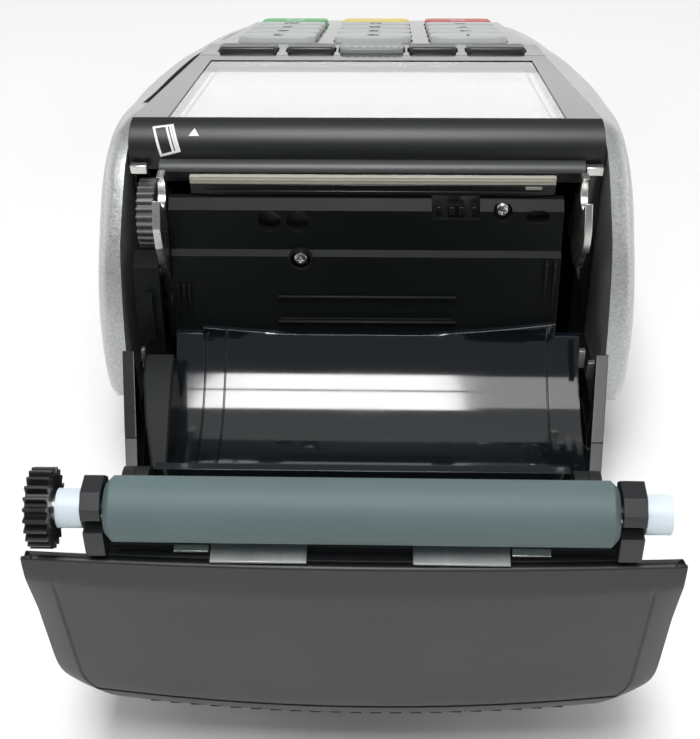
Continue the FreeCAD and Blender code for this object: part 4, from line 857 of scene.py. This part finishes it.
head_cream = moulded("head_cream", (0.42, 0.41, 0.34), 0.3)
head_black = moulded("head_black", (0.008, 0.008, 0.008), 0.28)
pale_tab = moulded("pale_tab", (0.30, 0.30, 0.26), 0.5)
head_sides = (-30.8, 28.6)
ceramic = block(head_sides, (49.8, 50.55), (52.75, 54.1))
heater_line = block((-30.2, 28.0), (50.5, 50.6), (53.35, 53.6))
piece("head_strip", together(ceramic, heater_line), head_cream, "head", "head_cream", "print_head",
      bevel=0.05)
driver_cover = block(head_sides, (49.8, 50.6), (50.8, 52.7))
driver_rib = block((-28.5, 26.0), (50.7, 50.9), (50.9, 51.7))
piece("head_driver_cover", together(driver_cover, driver_rib), head_black, "head", "deck_black", bevel=0.12)
tab = block((-28.6, -25.9), (50.5, 50.64), (51.9, 52.5))
piece("head_tab", tab, pale_tab, "head", "head_cream", bevel=0.05)

# The door's shell.
# Satin black ABS. It is crowned, folds down at its sides behind a fine ridge, dips in a band along its
# front edge, and rolls over a groove into a ribbed grip at its tail. Set out about the hinge, shut.

hinge_axle = Vector((0.0, 71.242, 23.0))
open_angle = 100.2
open_turn = Matrix.Rotation(math.radians(-open_angle), 3, "X")


def hung(x, y, z):
    """A place on the door, set out shut and about its hinge, where the open door has it."""
    return hinge_axle + open_turn @ Vector((x, y, z))


door_black = moulded("door_black", (0.009, 0.011, 0.010), 0.42, grain=0.16, depth=0.003, wear=0.15,
                     rounding=0.08)
roll_y, roll_z, roll_reach = -2.0, 22.6, 13.2
front_edge, face_level, skirt_foot = -32.1, 35.8, 3.0
ridge, fold_start, crown, tail_bow = 36.05, 36.3, 0.85, 0.0021
door_half_widths = ([-32.1, -7.0, -4.5, -2.5, -1.0, 0.3, 2.5, 5.0, 8.0, 11.2],
                    [39.3, 39.3, 39.2, 38.9, 38.2, 37.4, 36.0, 34.6, 33.2, 31.8])
across = [0, 4, 8, 12, 16, 20, 24, 27, 30, 32, 34, 35.2, 35.8, ridge, fold_start, 37.2, 38.0, 38.6,
          39.0, 39.3]


def crease(x):
    """Where the band along the door's front edge ends."""
    return -26.9 - 1.4 * (x / 36) ** 2


def door_row(kind, value, x):
    """Place and outward direction on the door's middle line for a row of its shell."""
    if kind == "band":
        start, end = Vector((front_edge, 35.15)), Vector((crease(x), face_level))
        return tuple(start.lerp(end, value)), (0.0, 1.0)
    if kind == "face":
        return (crease(x) + (roll_y - crease(x)) * value, face_level), (0.0, 1.0)
    if kind == "roll":
        turn = math.radians(value)
        aim = (math.cos(turn), math.sin(turn))
        return (roll_y + roll_reach * aim[0], roll_z + roll_reach * aim[1]), aim
    return (roll_y + roll_reach, value), (1.0, 0.0)


door_stations = [("band", share, 0) for share in (0, 0.04, 0.35, 0.7, 0.97)]
door_stations += [("face", share, 0) for share in (0.01, 0.06, 0.16, 0.3, 0.45, 0.6, 0.72, 0.82, 0.9, 0.96)]
door_stations += [("roll", turn, 0) for turn in (90, 86, 83)]
door_stations += [("roll", turn, sunk) for turn, sunk in ((82.2, 0.8), (80.0, 0.8), (79.2, 0.05))]
door_stations += [("roll", turn, 0) for turn in (76, 70, 64, 58, 52, 45, 36, 27, 18, 9, 0.5)]
door_stations += [("wall", height, 0) for height in (16.0, 9.0, skirt_foot)]
door_rows = []
for kind, value, sunk in door_stations:
    line = []
    half = float(np.interp(door_row(kind, value, 0)[0][0], *door_half_widths))
    ridged = kind == "face" or (kind == "roll" and value > 82.5)
    for place in across:
        x = place * half / across[-1]
        (y, z), aim = door_row(kind, value, x)
        fold = max(0.0, (place - fold_start) / 3.0)
        behind_band = min(1.0, max(0.0, (y + 30.0) / 9.0))
        groove = 0.16 if place == ridge and ridged else 0.0
        cut = 0.0 if place > ridge + 0.15 else sunk
        drop = crown * (x / 36.4) ** 2 + 0.9 * fold ** 1.3 * behind_band + groove + cut
        tail = min(1.0, max(0.0, (y + 16.0) / 14.0))
        line.append((x, y - aim[0] * drop - tail_bow * x * x * tail * (kind != "wall"), z - aim[1] * drop))
    x, y, z = line[-1]
    if kind == "wall":
        line += [(x + 0.02 * k, y, z) for k in range(1, 5)]
    else:
        foot = min(34.2 - (y - front_edge) * 0.607, z - 0.4)
        line += [(x, y, z + (foot - z) * k / 4) for k in range(1, 5)]
    door_rows.append([(-x, y, z) for x, y, z in line[:0:-1]] + line)
count = len(door_rows[0])
door_points = [point for line in door_rows for point in line]
door_faces = [(r * count + i, r * count + i + 1, (r + 1) * count + i + 1, (r + 1) * count + i)
              for r in range(len(door_rows) - 1) for i in range(count - 1)]
piece("door_shell", (door_points, door_faces), door_black, "cover", "shell_black", "cover_shell",
      put=hung, sheet=1.4, sharp=24)

# The lugs under the door's shell hold its two hinge pins.
# Moulded with the shell, one at each side, each a round eye on a gusset.

lug_radius, lug_thick = 3.8, 2.0
turns = np.linspace(0, 2 * math.pi, 40, endpoint=False)
eye = [(lug_radius * math.cos(turn), lug_radius * math.sin(turn)) for turn in turns]
gusset = [(0, -3.4), (10.0, 3.3), (10.0, 12.0), (0, 3.6)]
lugs = []
for low in (32.0, -34.0):
    lugs += [pushed(eye, low, low + lug_thick), pushed(gusset, low + 0.02, low + lug_thick - 0.02)]
piece("door_lugs", together(*lugs), door_black, "cover", "shell_black", put=hung)

# The grip: a row of fine ribs along the door's rolled tail, to pull it open by.
# Moulded with the shell, and bowed with it.

grip_low, grip_high, grip_step, grip_half = 50, 66, 2.72, 0.8
grips = []
for step in range(-10, 11):
    x = step * grip_step
    section = []
    for turn, lift in ((grip_high, 0.12), (grip_high, -0.5), (grip_low, -0.5), (grip_low, 0.12)):
        reach = roll_reach - crown * (x / 36.4) ** 2 + lift
        turn = math.radians(turn)
        section.append((roll_y + reach * math.cos(turn) - tail_bow * x * x, roll_z + reach * math.sin(turn)))
    grips.append(pushed(section, x - grip_half, x + grip_half))
piece("grip_ribs", together(*grips), shell_black, "cover", "shell_black", put=hung, bevel=0.1)

# The black frame under the door's front edge, with its hooks for the roller, and the plates on it.
# Two brushed plates press the paper, and beside each a nickel-plated tab shows.

dress(shell_black, "cover_frame")
brushed_steel = bright_metal("brushed_steel", (0.46, 0.47, 0.47), 0.42, (1, 0.04, 0.04), 0.25)
nickel = bright_metal("nickel_tab", (0.80, 0.80, 0.79), 0.22)


def plate(left, right, low, high):
    """A leaning plate along the door's front edge."""
    foot, lean, thick = -33.15, 0.4, 0.4
    section = [(foot, low), (foot + thick, low), (foot + thick + lean, high), (foot + lean, high)]
    return pushed(section, left, right)


plates = together(plate(5.3, 16.7, 31.5, 34.6), plate(-18.6, -7.2, 31.5, 34.6))
piece("spring_plates", plates, brushed_steel, "cover", "alu", "cover_spring_plates", put=hung, bevel=0.05)
tabs = together(plate(16.95, 21.1, 31.4, 33.2), plate(-23.4, -18.85, 31.6, 33.3))
piece("plate_tabs", tabs, nickel, "cover", "steel", put=hung, bevel=0.05)

# The platen roller with its shaft, bushes and gear.
# Grey-green silicone rubber on a steel shaft; its bushes drop into the plates' slots.

platen_rubber = moulded("platen_rubber", (0.085, 0.125, 0.128), 0.62, grain=0.2, depth=0.01, wear=0.3)
dress(platen_rubber, "roller_rubber")
dress(moulded("gear_black", (0.010, 0.010, 0.011), 0.30), "roller_gear")
dress(moulded("bush_white", (0.62, 0.70, 0.76), 0.38), "roller_bushes")
